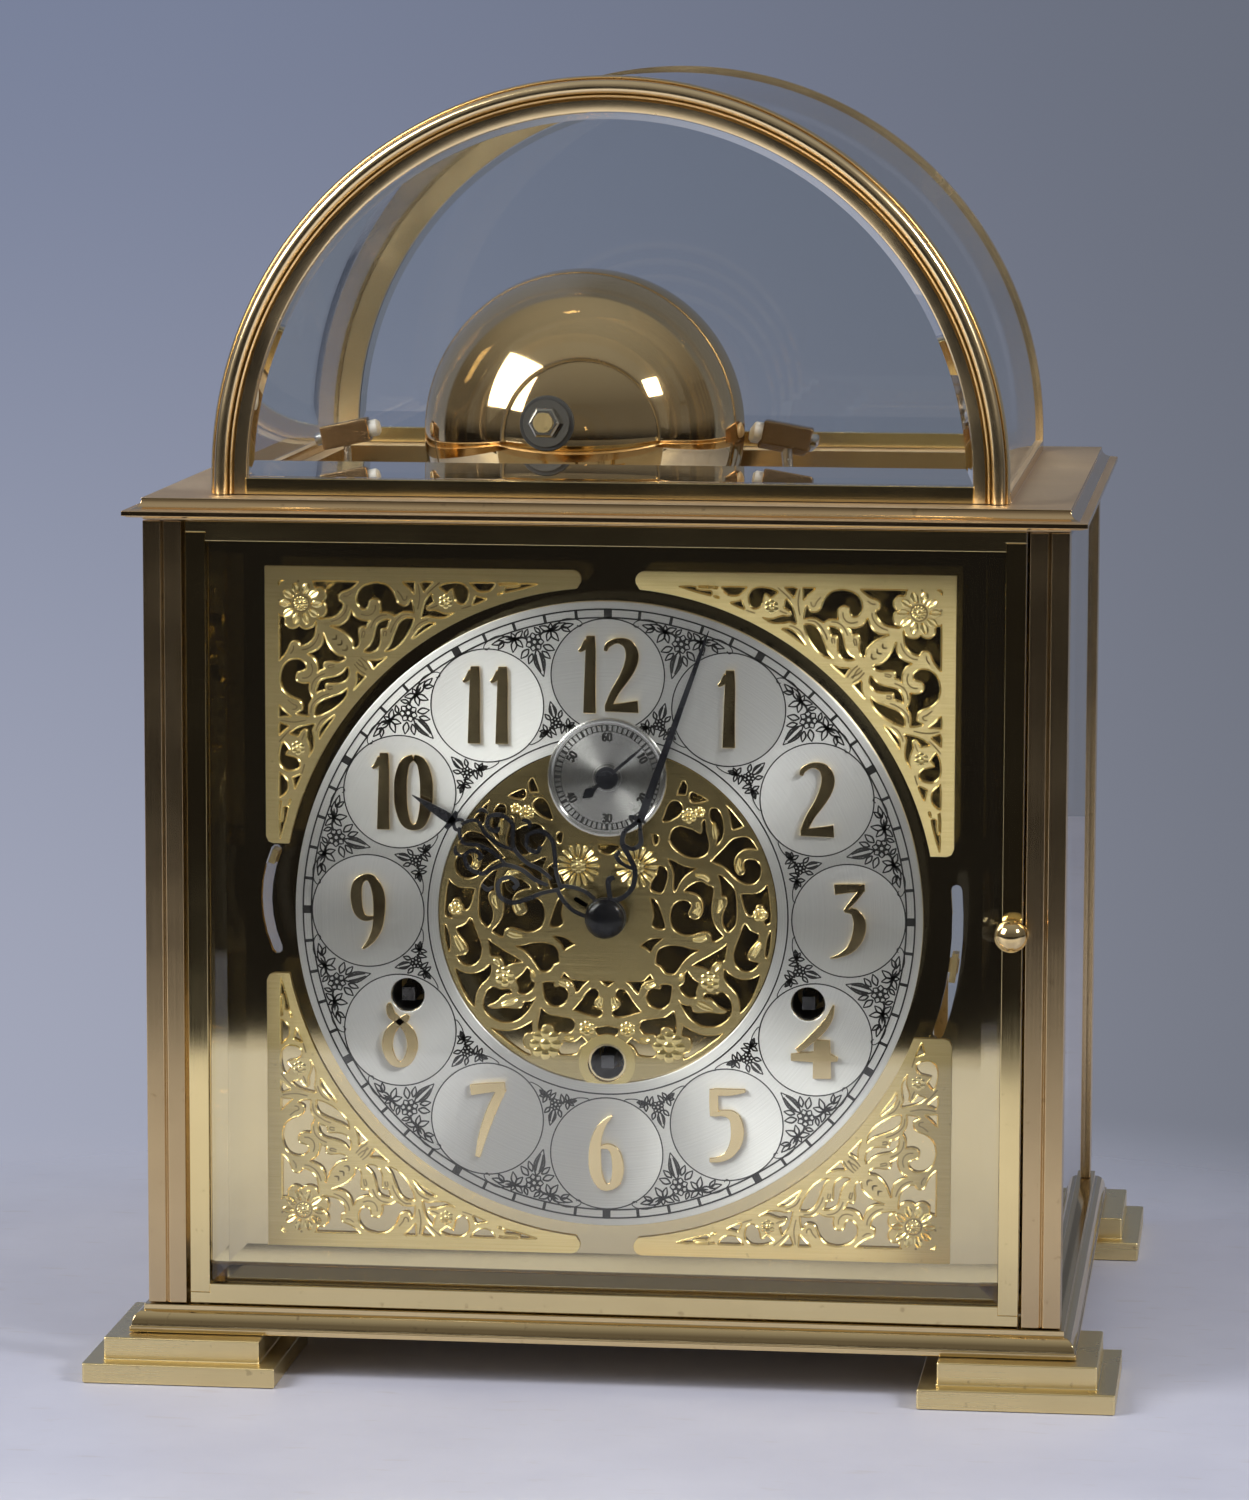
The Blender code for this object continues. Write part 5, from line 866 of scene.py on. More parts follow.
# Radius in millimetres and place in depth of the bore, the flat and the raised rim
SECONDS_SECTION = (
    (1.6, SECONDS_BACK), (1.6, SECONDS_FACE), (14.9, SECONDS_FACE), (15.1, SECONDS_FACE - 0.0002),
    (15.6, SECONDS_FACE - 0.0003), (16.1, SECONDS_FACE - 0.0001), (16.3, SECONDS_FACE + 0.0003),
    (16.3, SECONDS_BACK))
SECONDS_TRACK = ((12.6, 12.75), (14.3, 14.45))
SECOND_HALF, FIVE_SECOND_HALF = 0.22, 0.4
TENS_CIRCLE, TENS_HALF, TENS_APART, LOWER_TENS = 11.1, 0.32, 0.68, (20, 30, 40)
disc = bmesh.new()
turned_ring(disc, SECONDS_SECTION, 96, SECONDS_AT)
SECONDS_SILVER = silvered("silvered_seconds", (0.0, 0.0, DIAL_Z + SECONDS_RISE * MM), 0.22, 0.29, 1.0)
disc = made("seconds_dial_silvered", disc, SECONDS_SILVER, "case")
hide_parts("seconds_dial")
ink = bmesh.new()
for inner, outer in SECONDS_TRACK:
    hoop(ink, inner, outer, SECONDS_INK, SECONDS_BACK, SECONDS_AT, 72)
for second in range(60):
    half = FIVE_SECOND_HALF if second % 5 == 0 else SECOND_HALF
    run = [(0.0, 12.7, half), (0.0, 14.4, half)]
    stroke(ink, run, SECONDS_INK, SECONDS_BACK, per=1, turn=clockwise(second * 6.0, SECONDS_AT))
PLAIN_FIGURES = {
    "0": [[(0, 1.05), (.42, .8), (.5, 0), (.42, -.8), (0, -1.05), (-.42, -.8), (-.5, 0), (-.42, .8),
           (0, 1.05)]],
    "1": [[(-.35, .6), (.05, 1.05)], [(.05, 1.15), (.05, -1.15)]],
    "2": [[(-.45, .6), (-.25, .98), (.15, 1), (.45, .65), (.35, .15), (-.5, -1)], [(-.6, -1), (.55, -1)]],
    "3": [[(-.45, .75), (-.1, 1.05), (.35, .85), (.38, .35), (-.1, .08), (.4, -.2), (.48, -.7), (0, -1.05),
           (-.5, -.75)]],
    "4": [[(.6, -.45), (-.55, -.45), (.2, 1.05)], [(.2, 1.15), (.2, -1.15)]],
    "5": [[(.5, 1), (-.35, 1), (-.42, .1), (.1, .3), (.48, -.1), (.45, -.65), (0, -1.05), (-.5, -.75)]],
    "6": [[(.4, .8), (.05, 1.05), (-.35, .6), (-.5, -.3), (-.3, -.95), (.1, -1.05), (.48, -.6), (.35, -.05),
           (-.05, .1), (-.45, -.3)]]}
for tens in (60, 10, 20, 30, 40, 50):
    at = clockwise(tens * 6.0, SECONDS_AT)(0.0, TENS_CIRCLE)
    tilt = clockwise(tens * 6.0 + (180.0 if tens in LOWER_TENS else 0.0), at)
    for shift, figure in zip((-TENS_APART, TENS_APART), str(tens)):
        for points in PLAIN_FIGURES[figure]:
            run = [(x + shift, z, TENS_HALF) for x, z in points]
            stroke(ink, run, SECONDS_INK, SECONDS_BACK, per=1, turn=tilt)
made("seconds_print", ink, INK, "case")

# Corner spandrels
# Four gilt corner pieces sawn from sheet: a plain border with a flower in the corner and leafy stems
# that grow from the middle. Small pins hold them on the dial plate. Their engraved lines are flat dark
# strokes of painted shade.
CORNER = 94.2
ARC = 89.7
LEVEL_END, END_ROUND, END_AT = 8.6, 2.4, 9.8
LEG, SHORT_LEG = 18.0, 32.0
ENGRAVED, CUT_HALF = CENTRE_FACE - 0.00003, 0.2
CORNER_EDGE, CORNER_LIP, CORNER_LIFT = 0.0001, 0.23, 0.0001
CORNER_FLOWER, CORNER_PETALS = (84.2, 84.1), 10
CORNER_PETAL = ((2.7, 0.45), (4.4, 1.15), (5.9, 0.5))
BOSS_RISE, BOSS_GROOVE, BOSS_RING = 0.0003, 0.00028, (2.0, 2.4)
CORNER_DOTS, DOT_RADIUS = ((84.9, 90.2), (90.2, 84.9)), 0.35
CORNER_BOSSES = ((*CORNER_FLOWER, 2.1, 12), (44.4, 85.2, 2.0, 6), (85.2, 44.4, 2.0, 6))
CORNER_OPENINGS = [
    [(19.2, 90.3), (23.6, 90.5), (24, 89.8), (25.4, 89.4), (28, 89.3), (28.2, 88.6), (27.9, 87.9),
     (23, 89.1)], [(24.5, 90.5), (29.6, 90.5), (29.6, 89.8), (28, 90), (24.8, 90.1)],
    [(28.6, 87.9), (29.4, 87.9), (30.2, 87.6), (30.1, 87.2), (29.2, 87.4)],
    [(30.8, 90.5), (37.4, 90.5), (37.4, 89.9), (36.6, 89), (35.5, 88.1), (34, 87.9), (32.5, 88.2),
     (31.4, 89.1), (30.9, 90)],
    [(33.1, 86.2), (35.2, 86.6), (36, 86.9), (36.4, 86.5), (37.2, 84.6), (36.7, 84.4), (35.2, 85),
     (33.7, 85.7)],
    [(38, 87.5), (38.1, 88.5), (38.7, 89.4), (39.7, 90.2), (41.2, 90.5), (43, 90.4), (44.5, 90.1),
     (45.7, 89.6), (46.2, 89.1), (45.4, 88.4), (44.1, 87.5), (43.5, 88.1), (42.6, 88.6), (42.3, 87.5),
     (42, 86.2), (41.5, 85.2), (40.5, 84.6), (39.5, 84.5), (38.7, 85.1), (38.2, 86.2)],
    [(41.9, 82.3), (43.2, 82), (44.8, 82), (46.2, 82.5), (47.6, 82.9), (49.1, 82.7), (49.6, 83.4),
     (49.1, 84), (48.4, 84.5), (47.5, 85.1), (47.8, 85.8), (48, 86.8), (48.4, 87.5), (49.1, 86.7),
     (49.8, 85.8), (50.3, 84.7), (50.7, 83.4), (51, 82), (51.2, 80.9), (50.8, 80.5), (50.2, 80.8),
     (49.2, 81.1), (48.1, 80.8), (46.6, 80.7), (45, 80.7), (43.6, 81.2)],
    [(47.8, 90.5), (51.2, 90.5), (51, 89.1), (50.6, 87.9), (50.2, 87.7), (49.6, 88.4), (48.6, 89.5)],
    [(52.7, 90.5), (56, 90.5), (56, 90), (54.7, 88.9), (53.6, 87.6), (53.1, 87), (52.9, 87.7), (52.9, 89)],
    [(53.1, 82), (53.2, 83.5), (53.5, 85), (53.9, 85.7), (54.3, 85.4), (54.6, 84.6), (55.2, 84), (56.2, 84),
     (57.1, 84.4), (57.7, 85.2), (58.1, 86.4), (58.6, 87.6), (59.5, 88.7), (60.6, 89.6), (62, 90),
     (63.5, 90.2), (65.2, 89.9), (66.7, 89.4), (68, 88.4), (68.7, 87.2), (69, 85.9), (68.9, 84.5),
     (68.2, 83.4), (67.5, 82.8), (66.5, 82.7), (65.9, 83.1), (65.5, 84), (65.3, 84.9), (64.8, 85.4),
     (64, 85.6), (63.1, 85.4), (62.5, 84.6), (62.3, 83.5), (62.4, 82.5), (62.4, 81.9), (61, 82), (60, 81.8),
     (59, 81.4), (58.4, 81), (57.2, 81.6), (56.5, 82), (55.2, 82.2), (54, 82.1)],
    [(47, 79.2), (47.6, 79.4), (49, 79.4), (50.5, 78.6), (51.7, 77.6), (52.7, 76.4), (53.7, 75), (53.2, 75),
     (52, 75.8), (50.2, 77.1), (48.5, 78.3)],
    [(53.1, 80.4), (53.6, 80.7), (55, 80.7), (56.2, 80.2), (57.1, 79.4), (57.9, 78), (58.4, 76.7),
     (59, 75.2), (59.5, 73.7), (60.2, 72.5), (61.2, 71.4), (60.5, 71.4), (59, 71.7), (57.5, 72.7),
     (56.2, 74), (55, 75.7), (54, 77.5), (53.4, 79)],
    [(59.4, 80), (60.5, 80.2), (61.6, 79.9), (62.7, 79.4), (63.5, 78.4), (63.9, 77), (64.2, 75.5),
     (64.7, 74), (65.5, 72.7), (67.1, 71.4), (66, 70.9), (64.7, 70.9), (63.7, 71.4), (62.9, 72.1),
     (62.4, 73.2), (62.2, 74.5), (62.2, 75.7), (62.2, 77), (61.6, 77.5), (60.9, 77.5), (60.4, 77.7),
     (60.2, 78.5), (59.9, 79.4)],
    [(60.4, 69.9), (61.5, 69.5), (63.5, 68.9), (65.7, 68.9), (65.2, 68), (64.5, 66.8), (64.2, 66.4),
     (63, 67.5), (61.5, 68.8)],
    [(68.3, 90.3), (80.2, 90.3), (80.7, 90), (80.5, 88.8), (79.8, 88.5), (78.7, 88.6), (78, 88.1),
     (77.4, 87.2), (77.3, 86.3), (77.7, 85.3), (78.2, 84.7), (77.7, 84.2), (77.3, 83.2), (77.3, 82.1),
     (77.8, 81), (78.5, 80.5), (79.4, 80.1), (78.4, 79.9), (77, 80.1), (75.3, 80.4), (73.9, 81.3),
     (73, 82.4), (72.5, 83.5), (72.5, 84.5), (73.1, 84.8), (73.6, 85.3), (73.7, 86.2), (73.3, 87),
     (72.4, 87.5), (71.2, 87.9), (69.8, 88.8), (68.8, 89.7)],
    [(65, 79.8), (66.2, 79.7), (67.5, 79.9), (68.8, 80.5), (69.6, 81.3), (70.3, 82.6), (70.7, 81.8),
     (71.2, 80.4), (72.1, 79.2), (73.4, 78.4), (74.8, 78.2), (76.4, 78.2), (75.3, 77.6), (73.7, 77),
     (72, 76), (70.7, 74.7), (70, 73.6), (69.9, 72.4), (69.4, 71.9), (68.7, 72.2), (68.2, 73.1), (68, 74.3),
     (68.2, 75.7), (68.2, 77.1), (67.7, 77.9), (67, 78), (66.4, 77.7), (66.1, 78), (65.9, 78.6),
     (65.4, 79.3)]]
SLANT_OPENING = [(88.9, 90.3), (90.3, 90.3), (90.3, 88.9), (89.9, 89.9)]
CORNER_LINES = [
    [(63.7, 84), (63.8, 82.7), (64.7, 81.5), (66.2, 81.1), (67.7, 81.5)],
    [(55, 86.7), (55.2, 85.7), (56, 85.5), (56.6, 86.7), (57.7, 88)],
    [(52, 90), (51.6, 87.5), (51.6, 85.5), (52.1, 83)],
    [(54.2, 81.6), (56, 81.4), (57.2, 80.6), (58, 79.7), (59, 78), (59.5, 76.5)],
    [(60.5, 81.4), (62, 81.2), (63.2, 80.6), (64.2, 79.5), (65, 77.7)],
    [(60.9, 75.5), (60.7, 76.7), (61.4, 76.7), (61.5, 75.5)],
    [(67, 75), (66.6, 76.5), (67.2, 76.7), (67.5, 75)], [(46, 90.4), (48, 88.7), (49.5, 87.2)],
    [(49.2, 80.2), (50.5, 79.8), (52.2, 78.7), (53.2, 77)],
    [(71.5, 84), (71.7, 82.6), (72.7, 81), (74.2, 79.9), (75.9, 79.3)],
    [(70.3, 87.2), (71.4, 86.4), (72.5, 86.3)], [(71.6, 72.9), (71.4, 71.8), (72.2, 71.6)],
    [(73, 74.3), (73.1, 73.1), (73.9, 73)], [(74.5, 75.7), (74.5, 74.5), (75.2, 74.6)],
    [(65, 66.4), (66.2, 68.2), (67.8, 69.6)], [(66.4, 66), (67.4, 68), (68.4, 69)],
    [(43, 85.4), (43.4, 84.2), (44.6, 83.8)], [(40, 83.4), (38.6, 83.8), (37.4, 84.2)],
    [(46.6, 84.2), (47.4, 83.8), (48.6, 83.4)]]
RISING_GILT = gilt_brass("corner_gilt_rising", 0.27, 0.36, 1.0, GILT_SLANT)
FALLING_GILT = gilt_brass("corner_gilt_falling", 0.27, 0.36, 1.0, GILT_SLANT + 90.0)
# Engraved lines drawn as flat dark brown strokes: painted shade standing for the shadow in the cut grooves.
SHADED_CUT_GILT = smeared("engraved_gilt", (0.46, 0.34, 0.16), (0.32, 0.23, 0.10), 140.0, 0.42, 0.42, 1.0)


def spandrel(name, x_side, z_side, leg):
    """One corner piece, drawn for the upper right and mirrored; leg is where its upright leg ends."""
    bm = bmesh.new()
    place = lambda x, z: (x_side * x, z_side * z)
    swapped = lambda x, z: (x_side * z, z_side * x)
    outline = arc_points(ARC, asin(leg / ARC), pi / 2 - asin(LEVEL_END / ARC), 48)
    outline += arc_points(END_ROUND, 1.5 * pi, 0.5 * pi, 8, (END_AT, CORNER - END_ROUND))[2:]
    outline += [(CORNER, CORNER), (CORNER, leg + 2.0), (CORNER - 0.7, leg + 0.5), (CORNER - 2.0, leg)]
    upright = [points for points in CORNER_OPENINGS if min(x for x, z in points) > leg + 1.0]
    openings = [rounded([place(*p) for p in points]) for points in CORNER_OPENINGS + [SLANT_OPENING]]
    openings += [rounded([swapped(*p) for p in points]) for points in upright]
    edge = [(x * MM, z * MM) for x, z in (place(*p) for p in outline)]
    sheet_of(bm, [edge] + openings, CENTRE_FACE, ORNAMENT_BACK)
    gilt = FALLING_GILT if x_side == z_side else RISING_GILT
    piece = made(name + "_pierced", bm, gilt, "case")
    break_edges(piece, CORNER_EDGE)
    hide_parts(name)
    # Engraved lines, dots and boss ring as flat dark strokes over the sheet, painted shade of the cuts.
    cuts = bmesh.new()
    for turn in (place, swapped):
        for points in CORNER_LINES:
            stroke(cuts, [(x, z, CUT_HALF) for x, z in points], ENGRAVED, ORNAMENT_BACK, turn=turn)
    for x, z in CORNER_DOTS:
        dot(cuts, *place(x, z), DOT_RADIUS, ENGRAVED, ORNAMENT_BACK, 12)
    hoop(cuts, *BOSS_RING, ENGRAVED, ORNAMENT_BACK, place(*CORNER_FLOWER), 32)
    made(name + "_engraving", cuts, SHADED_CUT_GILT, "case")
    bosses = bmesh.new()
    for x, z, radius, petals in CORNER_BOSSES:
        flower(bosses, place(x, z), radius, petals, CENTRE_FACE, BOSS_RISE)
    for petal in range(CORNER_PETALS):
        spread = clockwise((petal + 0.5) * 360.0 / CORNER_PETALS, CORNER_FLOWER)
        run = [(*spread(0.0, reach), half) for reach, half in CORNER_PETAL]
        stroke(bosses, run, CENTRE_FACE - BOSS_RISE, ORNAMENT_BACK, BOSS_GROOVE, per=3, turn=place)
    made(name + "_bosses", bosses, CHASED_GILT, "case")
    edging(name + "_edging", openings, CORNER_LIP, CORNER_LIFT, CHASED_GILT)


spandrel("spandrel_upper_left", -1, 1, LEG)
spandrel("spandrel_upper_right", 1, 1, LEG)
spandrel("spandrel_lower_left", -1, -1, LEG)
spandrel("spandrel_lower_right", 1, -1, SHORT_LEG)

# Winding wells
# Three short black tubes behind the winding holes, set in the dial plate as painted shade, so that the
# holes show dark inside.
WELL_FRONT, WELL_REAR, WELL_OUTER, WELL_INNER = -0.0898, -0.0735, 0.00455, 0.0044


def lathe(profile, steps, place):
    """A piece turned about Y from (radius, y) points and set in place by a matrix."""
    bm = bmesh.new()
    rows = []
    for radius, y in profile:
        points = round_points(radius, steps) if radius else [(0.0, 0.0)]
        rows.append([bm.verts.new(place @ Vector((x, y, z))) for x, z in points])
    banded(bm, rows)
    return bm


TUBE = [(WELL_OUTER, WELL_FRONT), (WELL_OUTER, WELL_REAR), (WELL_INNER, WELL_REAR), (WELL_INNER, WELL_FRONT)]
WELL_PLACES = {"left": (-WINDING_X, WINDING_DROP), "right": (WINDING_X, WINDING_DROP),
               "middle": (0.0, MIDDLE_DROP * MM)}
for name, (x, drop) in WELL_PLACES.items():
    tube = lathe(TUBE + TUBE[:1], 40, Matrix.Translation((x, 0.0, DIAL_Z - drop)))
    # Each tube is made in the black print ink: painted shade inside the hole.
    made(f"winding_well_painted_shade_{name}", tube, INK, "case")

# Levers
# Two brass levers behind the dial, pivoted on studs, with tips that stand out through the slots to be
# pushed by a finger. Brushed like the rest of the movement.
LEVER_EDGE = 0.00015
for name in ("silent_lever", "melody_lever"):
    eased(name, MOVEMENT_BRASS, LEVER_EDGE)

# Hands
# Hour, minute and second hands sawn from steel sheet into open scrolls, blued to black, and a black
# domed nut that holds them on the centre arbor.
SECOND_AT, HOUR_AT, MINUTE_AT = -0.0935, -0.0949, -0.0963
HAND_THICKNESS = 0.0008
HAND_EDGE, SECOND_EDGE = 0.0001, 0.00008
SECOND_BORE, SECOND_HUB, SECOND_CAP, CAP_RISE = 1.55, 3.1, 2.0, 0.0003
HAND_TURNS = {"hour": 301.6, "minute": 19.5, "second": 49.0}
HOUR_SCROLLS = [
    [(2.6, 4.6, .8), (3.1, 9, .8), (1.6, 13.6, .8), (.2, 15.4, .8)],
    [(.6, 15, .8), (3.4, 18, .8), (7, 20.6, .9), (10.4, 23.8, .9), (10.6, 27.6, .9), (7.6, 29.8, .8),
     (4.8, 28, .8), (5.2, 25.2, .9), (7, 25.4, .9)],
    [(1, 18, .6), (1.6, 22, .8), (1.2, 26, .8), (2.4, 30.6, .8), (5, 33, .8), (8, 34.8, .85),
     (8.6, 38.6, .85), (6.4, 41.4, .8), (3.8, 40.2, .8), (4, 37.6, .9), (5.4, 37.8, .8)],
    [(2.2, 31, .5), (1.4, 35, .8), (1.8, 39.6, .8), (3.6, 43.4, .7), (2, 45.8, .7), (.4, 46.6, .7)],
    [(9.4, 30.4, .3), (11, 31.4, .9), (10.6, 33.4, .5)], [(7, 42, .3), (7, 44, .8), (5.4, 45, .3)]]
MINUTE_SCROLLS = [
    [(0, 5, 1), (2.8, 7.4, .8), (4.2, 11, .85), (3.2, 15.4, .85), (.4, 18.4, .85), (-2.4, 21, .85),
     (-3, 24.2, .8), (-1.2, 27.2, .8), (0, 29, 1)],
    [(0, 5, .9), (-1.8, 8, .8), (-2.6, 10.4, 1), (-1.4, 11.6, .8)],
    [(3, 15.6, .6), (-.4, 15.8, .6), (-2.8, 17.2, .8), (-2.4, 18.8, .6)],
    [(-2.4, 21, .6), (.6, 20.6, .7), (2.2, 22.8, .8), (1.2, 25.4, .7), (.2, 28, .7)],
    [(-3.4, 28.6, .5), (-1, 29, .9), (1.6, 28.6, .4)],
    [(-.2, 28, 1), (0, 31, 1.4), (0, 40, 1.3), (0, 60, 1), (0, 76, .7), (0, 83.9, .12)]]
HOUR_BLADE = [
    [(-2.8, 49.6, .5), (0, 49.4, 1), (2.8, 49.6, .5)], [(0, 48.6, .9), (0, 51, 1.4), (0, 56, 1), (0, 62.4, .1)],
    [(-1.3, 46.4, .45), (-1.5, 47.6, .45), (0, 48.8, .5), (1.5, 47.6, .45), (1.3, 46.4, .45)]]
HOUR_STEM = [(0, 6, .9), (0, 10, .8)]
SECOND_BLADES = [
    [(0, 2, .5), (0, 8, .45), (0, 13.8, .12)], [(0, -2, .5), (0, -4.6, .5), (0, -6.4, 1.5), (0, -8.6, .1)]]
HAND_BLACK = smeared("blackened_steel", (0.010, 0.010, 0.012), (0.03, 0.03, 0.034), 90.0, 0.22, 0.42,
                     Specular_IOR_Level=0.6)


def hand(name, scrolls, weight, mirrored_too, face, turn, body, hub, bore):
    """A hand drawn at twelve o'clock, its lines thinned by weight, turned to its time and set on a hub."""
    bm = bmesh.new()
    for order, points in enumerate(scrolls):
        for side in ((1, -1) if mirrored_too else (1,)):
            drawn = [(x * side, z, half * weight) for x, z, half in points]
            front = face + (order % 5) * STEP_APART
            stroke(bm, drawn, front, face + HAND_THICKNESS, turn=clockwise(turn))
    hoop(bm, bore, hub, face - 2 * STEP_APART, face + HAND_THICKNESS, steps=48)
    piece = made(name + "_scrolled", bm, HAND_BLACK, body)
    break_edges(piece, HAND_EDGE)
    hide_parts(name)


hand("hour_hand", HOUR_SCROLLS + [HOUR_STEM], 0.66, True, HOUR_AT, HAND_TURNS["hour"], "hour_pipe", hub=5.6,
     bore=4.35)
blade, turn = bmesh.new(), clockwise(HAND_TURNS["hour"])
for points in HOUR_BLADE:
    stroke(blade, points, HOUR_AT - 3 * STEP_APART, HOUR_AT + HAND_THICKNESS, turn=turn)
break_edges(made("hour_hand_blade", blade, HAND_BLACK, "hour_pipe"), HAND_EDGE)
hand("minute_hand", MINUTE_SCROLLS, 0.8, False, MINUTE_AT, HAND_TURNS["minute"], "minute_arbor", hub=5.4,
     bore=2.35)
second = bmesh.new()
sweep = clockwise(HAND_TURNS["second"], SECONDS_AT)
for points in SECOND_BLADES:
    stroke(second, points, SECOND_AT, SECOND_AT + HAND_THICKNESS, per=1, turn=sweep)
second_back = SECOND_AT + HAND_THICKNESS
hoop(second, SECOND_BORE, SECOND_HUB, SECOND_AT - 2 * STEP_APART, second_back, SECONDS_AT, 40)
dot(second, *SECONDS_AT, SECOND_CAP, SECOND_AT - CAP_RISE, second_back, 24)
second = made("second_hand_fine", second, HAND_BLACK, "seconds_arbor")
break_edges(second, SECOND_EDGE)
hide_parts("second_hand")

NUT_BACK, NUT_RADIUS, NUT_RIM = -0.0966, 0.0054, 0.0005
DOME_FOOT, DOME_RADIUS, DOME_RISE = NUT_BACK - 0.0006, 0.0052, 0.0019
NUT_BLACK = smeared("blued_nut", (0.004, 0.004, 0.005), (0.014, 0.013, 0.014), 160.0, 0.14, 0.24,
                    Specular_IOR_Level=0.4)
dome = [(0.0, NUT_BACK), (NUT_RADIUS, NUT_BACK), (NUT_RADIUS, NUT_BACK - NUT_RIM)]
dome += [(DOME_RADIUS * cos(a), DOME_FOOT - DOME_RISE * sin(a)) for a in (0.0, 0.25, 0.5, 0.75, 1.0, 1.25)]
dome = lathe(dome + [(0.0, DOME_FOOT - DOME_RISE)], 48, Matrix.Translation((0.0, 0.0, DIAL_Z)))
nut = made("hand_nut_domed", dome, NUT_BLACK, "minute_arbor")
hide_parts("hand_nut")

# Bells
# Four nested hemispheres of bell brass on one spindle, spun thin and polished. A nickelled hexagon nut
# on a washer clamps them on the stand. A wider black washer behind it is painted shadow of the nut.
BELL_CENTRE = Vector((-0.0178, 0.0, 0.2530))
BELL_YAW = BELL_TILT = radians(6.3)
BELL_RADIUS, BELL_SHRINK, BELL_STEP = 0.0459, 0.0030, 0.0130
BELL_WALL, BELL_SKIRT = 0.0018, 0.0030
BELL_BRASS = polished_brass("bell_brass", (0.92, 0.68, 0.37), (0.80, 0.56, 0.27), 0.03, 0.07, 34.0)
BELL_HOLE, HOLE_STEP, LIP_ROUND = 0.0031, 0.0006, 0.0005
SPINDLE_BORE, NUT_BORE, NUT_EDGE = 0.0030, 0.0029, 0.0002
aim = Matrix.Rotation(-BELL_YAW, 4, "Z") @ Matrix.Rotation(-BELL_TILT, 4, "X")
on_spindle = Matrix.Translation(BELL_CENTRE) @ aim
for index in range(4):
    outer = BELL_RADIUS - BELL_SHRINK * index
    inner = outer - BELL_WALL
    mouth = BELL_STEP * index
    hole = BELL_HOLE + HOLE_STEP * index
    domed = arc_points(outer, asin(hole / outer) - pi / 2, 0.0, 32, (0.0, mouth))
    hollow = arc_points(inner, 0.0, asin(hole / inner) - pi / 2, 24, (0.0, mouth))
    rim = mouth + BELL_SKIRT
    lip = [(outer, rim - LIP_ROUND), (outer - 0.8 * LIP_ROUND, rim), (inner, rim)]
    name = "hour_bell" if index == 0 else f"chime_bell_{index}"
    bell = lathe(domed + lip + hollow + domed[:1], 128, on_spindle)
    bell = made(name + "_spun", bell, BELL_BRASS, "case")
    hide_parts(name)
dressed(["bell_stand"], MOVEMENT_BRASS)
seat = -BELL_RADIUS - 0.0001
# Black for the washer behind the nut: painted shadow of the nut, with a fine leathery grain.
NUT_SHADOW_BLACK, tree, shader = finish("black_leather", (0.02, 0.018, 0.016), 0.7, 0.0)
pores = add(tree, "TexNoise", {"Scale": 2500.0, "Detail": 3.0}).outputs["Fac"]
tree.links.new(blended(tree, pores, (0.012, 0.011, 0.010), (0.05, 0.045, 0.04)), shader.inputs["Base Color"])
NUT_NICKEL = polished_brass("nut_nickel", (0.66, 0.62, 0.54), (0.46, 0.42, 0.34), 0.06, 0.14, 90.0)
WASHERS = {
    "bell_leather_washer": (NUT_SHADOW_BLACK, "black_steel", [(SPINDLE_BORE, 0.0009), (0.0076, 0.0007), (0.0078, 0.0003),
                                                     (0.0076, -0.0003), (SPINDLE_BORE, -0.0003)]),
    "bell_washer": (NUT_NICKEL, "satin_brass", [(SPINDLE_BORE, -0.0003), (0.0066, -0.0003), (0.0068, -0.0005),
                                                (0.0066, -0.0011), (SPINDLE_BORE, -0.0011)])}
for name, (material, slot, section) in WASHERS.items():
    washer = lathe([(radius, seat + y) for radius, y in section + section[:1]], 48, on_spindle)
    made(name, washer, material, "case")
section = [(NUT_BORE, -0.0011), (0.0046, -0.0011), (0.0046, -0.0036), (0.0040, -0.0042), (NUT_BORE, -0.0042)]
nut = lathe([(radius, seat + y) for radius, y in section + section[:1]], 6, on_spindle)
nut = made("bell_nut_hexagon", nut, NUT_NICKEL, "case")
break_edges(nut, NUT_EDGE)
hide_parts("bell_nut")

# Hammers
# A brown brass block with a pale nylon tip and a steel screw on each, on a steel wire from a hub that
# turns on its arbor. The hour hammer is on the left and four chime hammers are on the right.
HAMMER_LENGTH, HAMMER_HEIGHT, HAMMER_WIDTH = 0.0140, 0.0068, 0.0060
TIP_LENGTH, TIP_RADIUS, SCREW_LENGTH, SCREW_RADIUS = 0.0030, 0.0024, 0.0021, 0.0019
WIRE_RADIUS, HUB_BORE, HUB_RADIUS, HUB_HALF = 0.0011, 0.0024, 0.0042, 0.0027
CHIME_PIVOT, CHIME_LEAN, CHIME_GAP = (0.0460, 0.15805), radians(-10.0), 0.0020
HOUR_PIVOT, HOUR_LEAN, HOUR_HEAD_X = (-0.0820, 0.18205), radians(12.0), -0.0872
CHIME_TAIL = (0.00795, -0.01085)
BLOCK_EDGE, HUB_EDGE, SUNK, WIRE_START = 0.0006, 0.0003, 0.001, HUB_BORE * 1.2
HAMMER_GRAIN = (300.0, 1500.0, 1500.0)
HAMMER_BROWN = brushed_metal("hammer_brown", HAMMER_GRAIN, (0.40, 0.27, 0.15), (0.26, 0.16, 0.08), 0.16, 0.30)
NYLON = smeared("nylon_tip", (0.66, 0.64, 0.60), (0.48, 0.45, 0.40), 200.0, 0.4, 0.4)


def lofted(loops):
    """A skin over loops of the same length, filled at both ends."""
    bm = bmesh.new()
    skinned(bm, [[bm.verts.new(point) for point in loop] for loop in loops])
    return bm


def bar(start, end, half_height, half_depth, y):
    """A square bar between two points in an upright plane at depth y."""
    along = (Vector(end) - Vector(start)).normalized()
    across = Vector((-along.y, along.x)) * half_height
    corners = [Vector(start) - across, Vector(end) - across, Vector(end) + across, Vector(start) + across]
    return lofted([[(c.x, y + d, c.y) for c in corners] for d in (-half_depth, half_depth)])


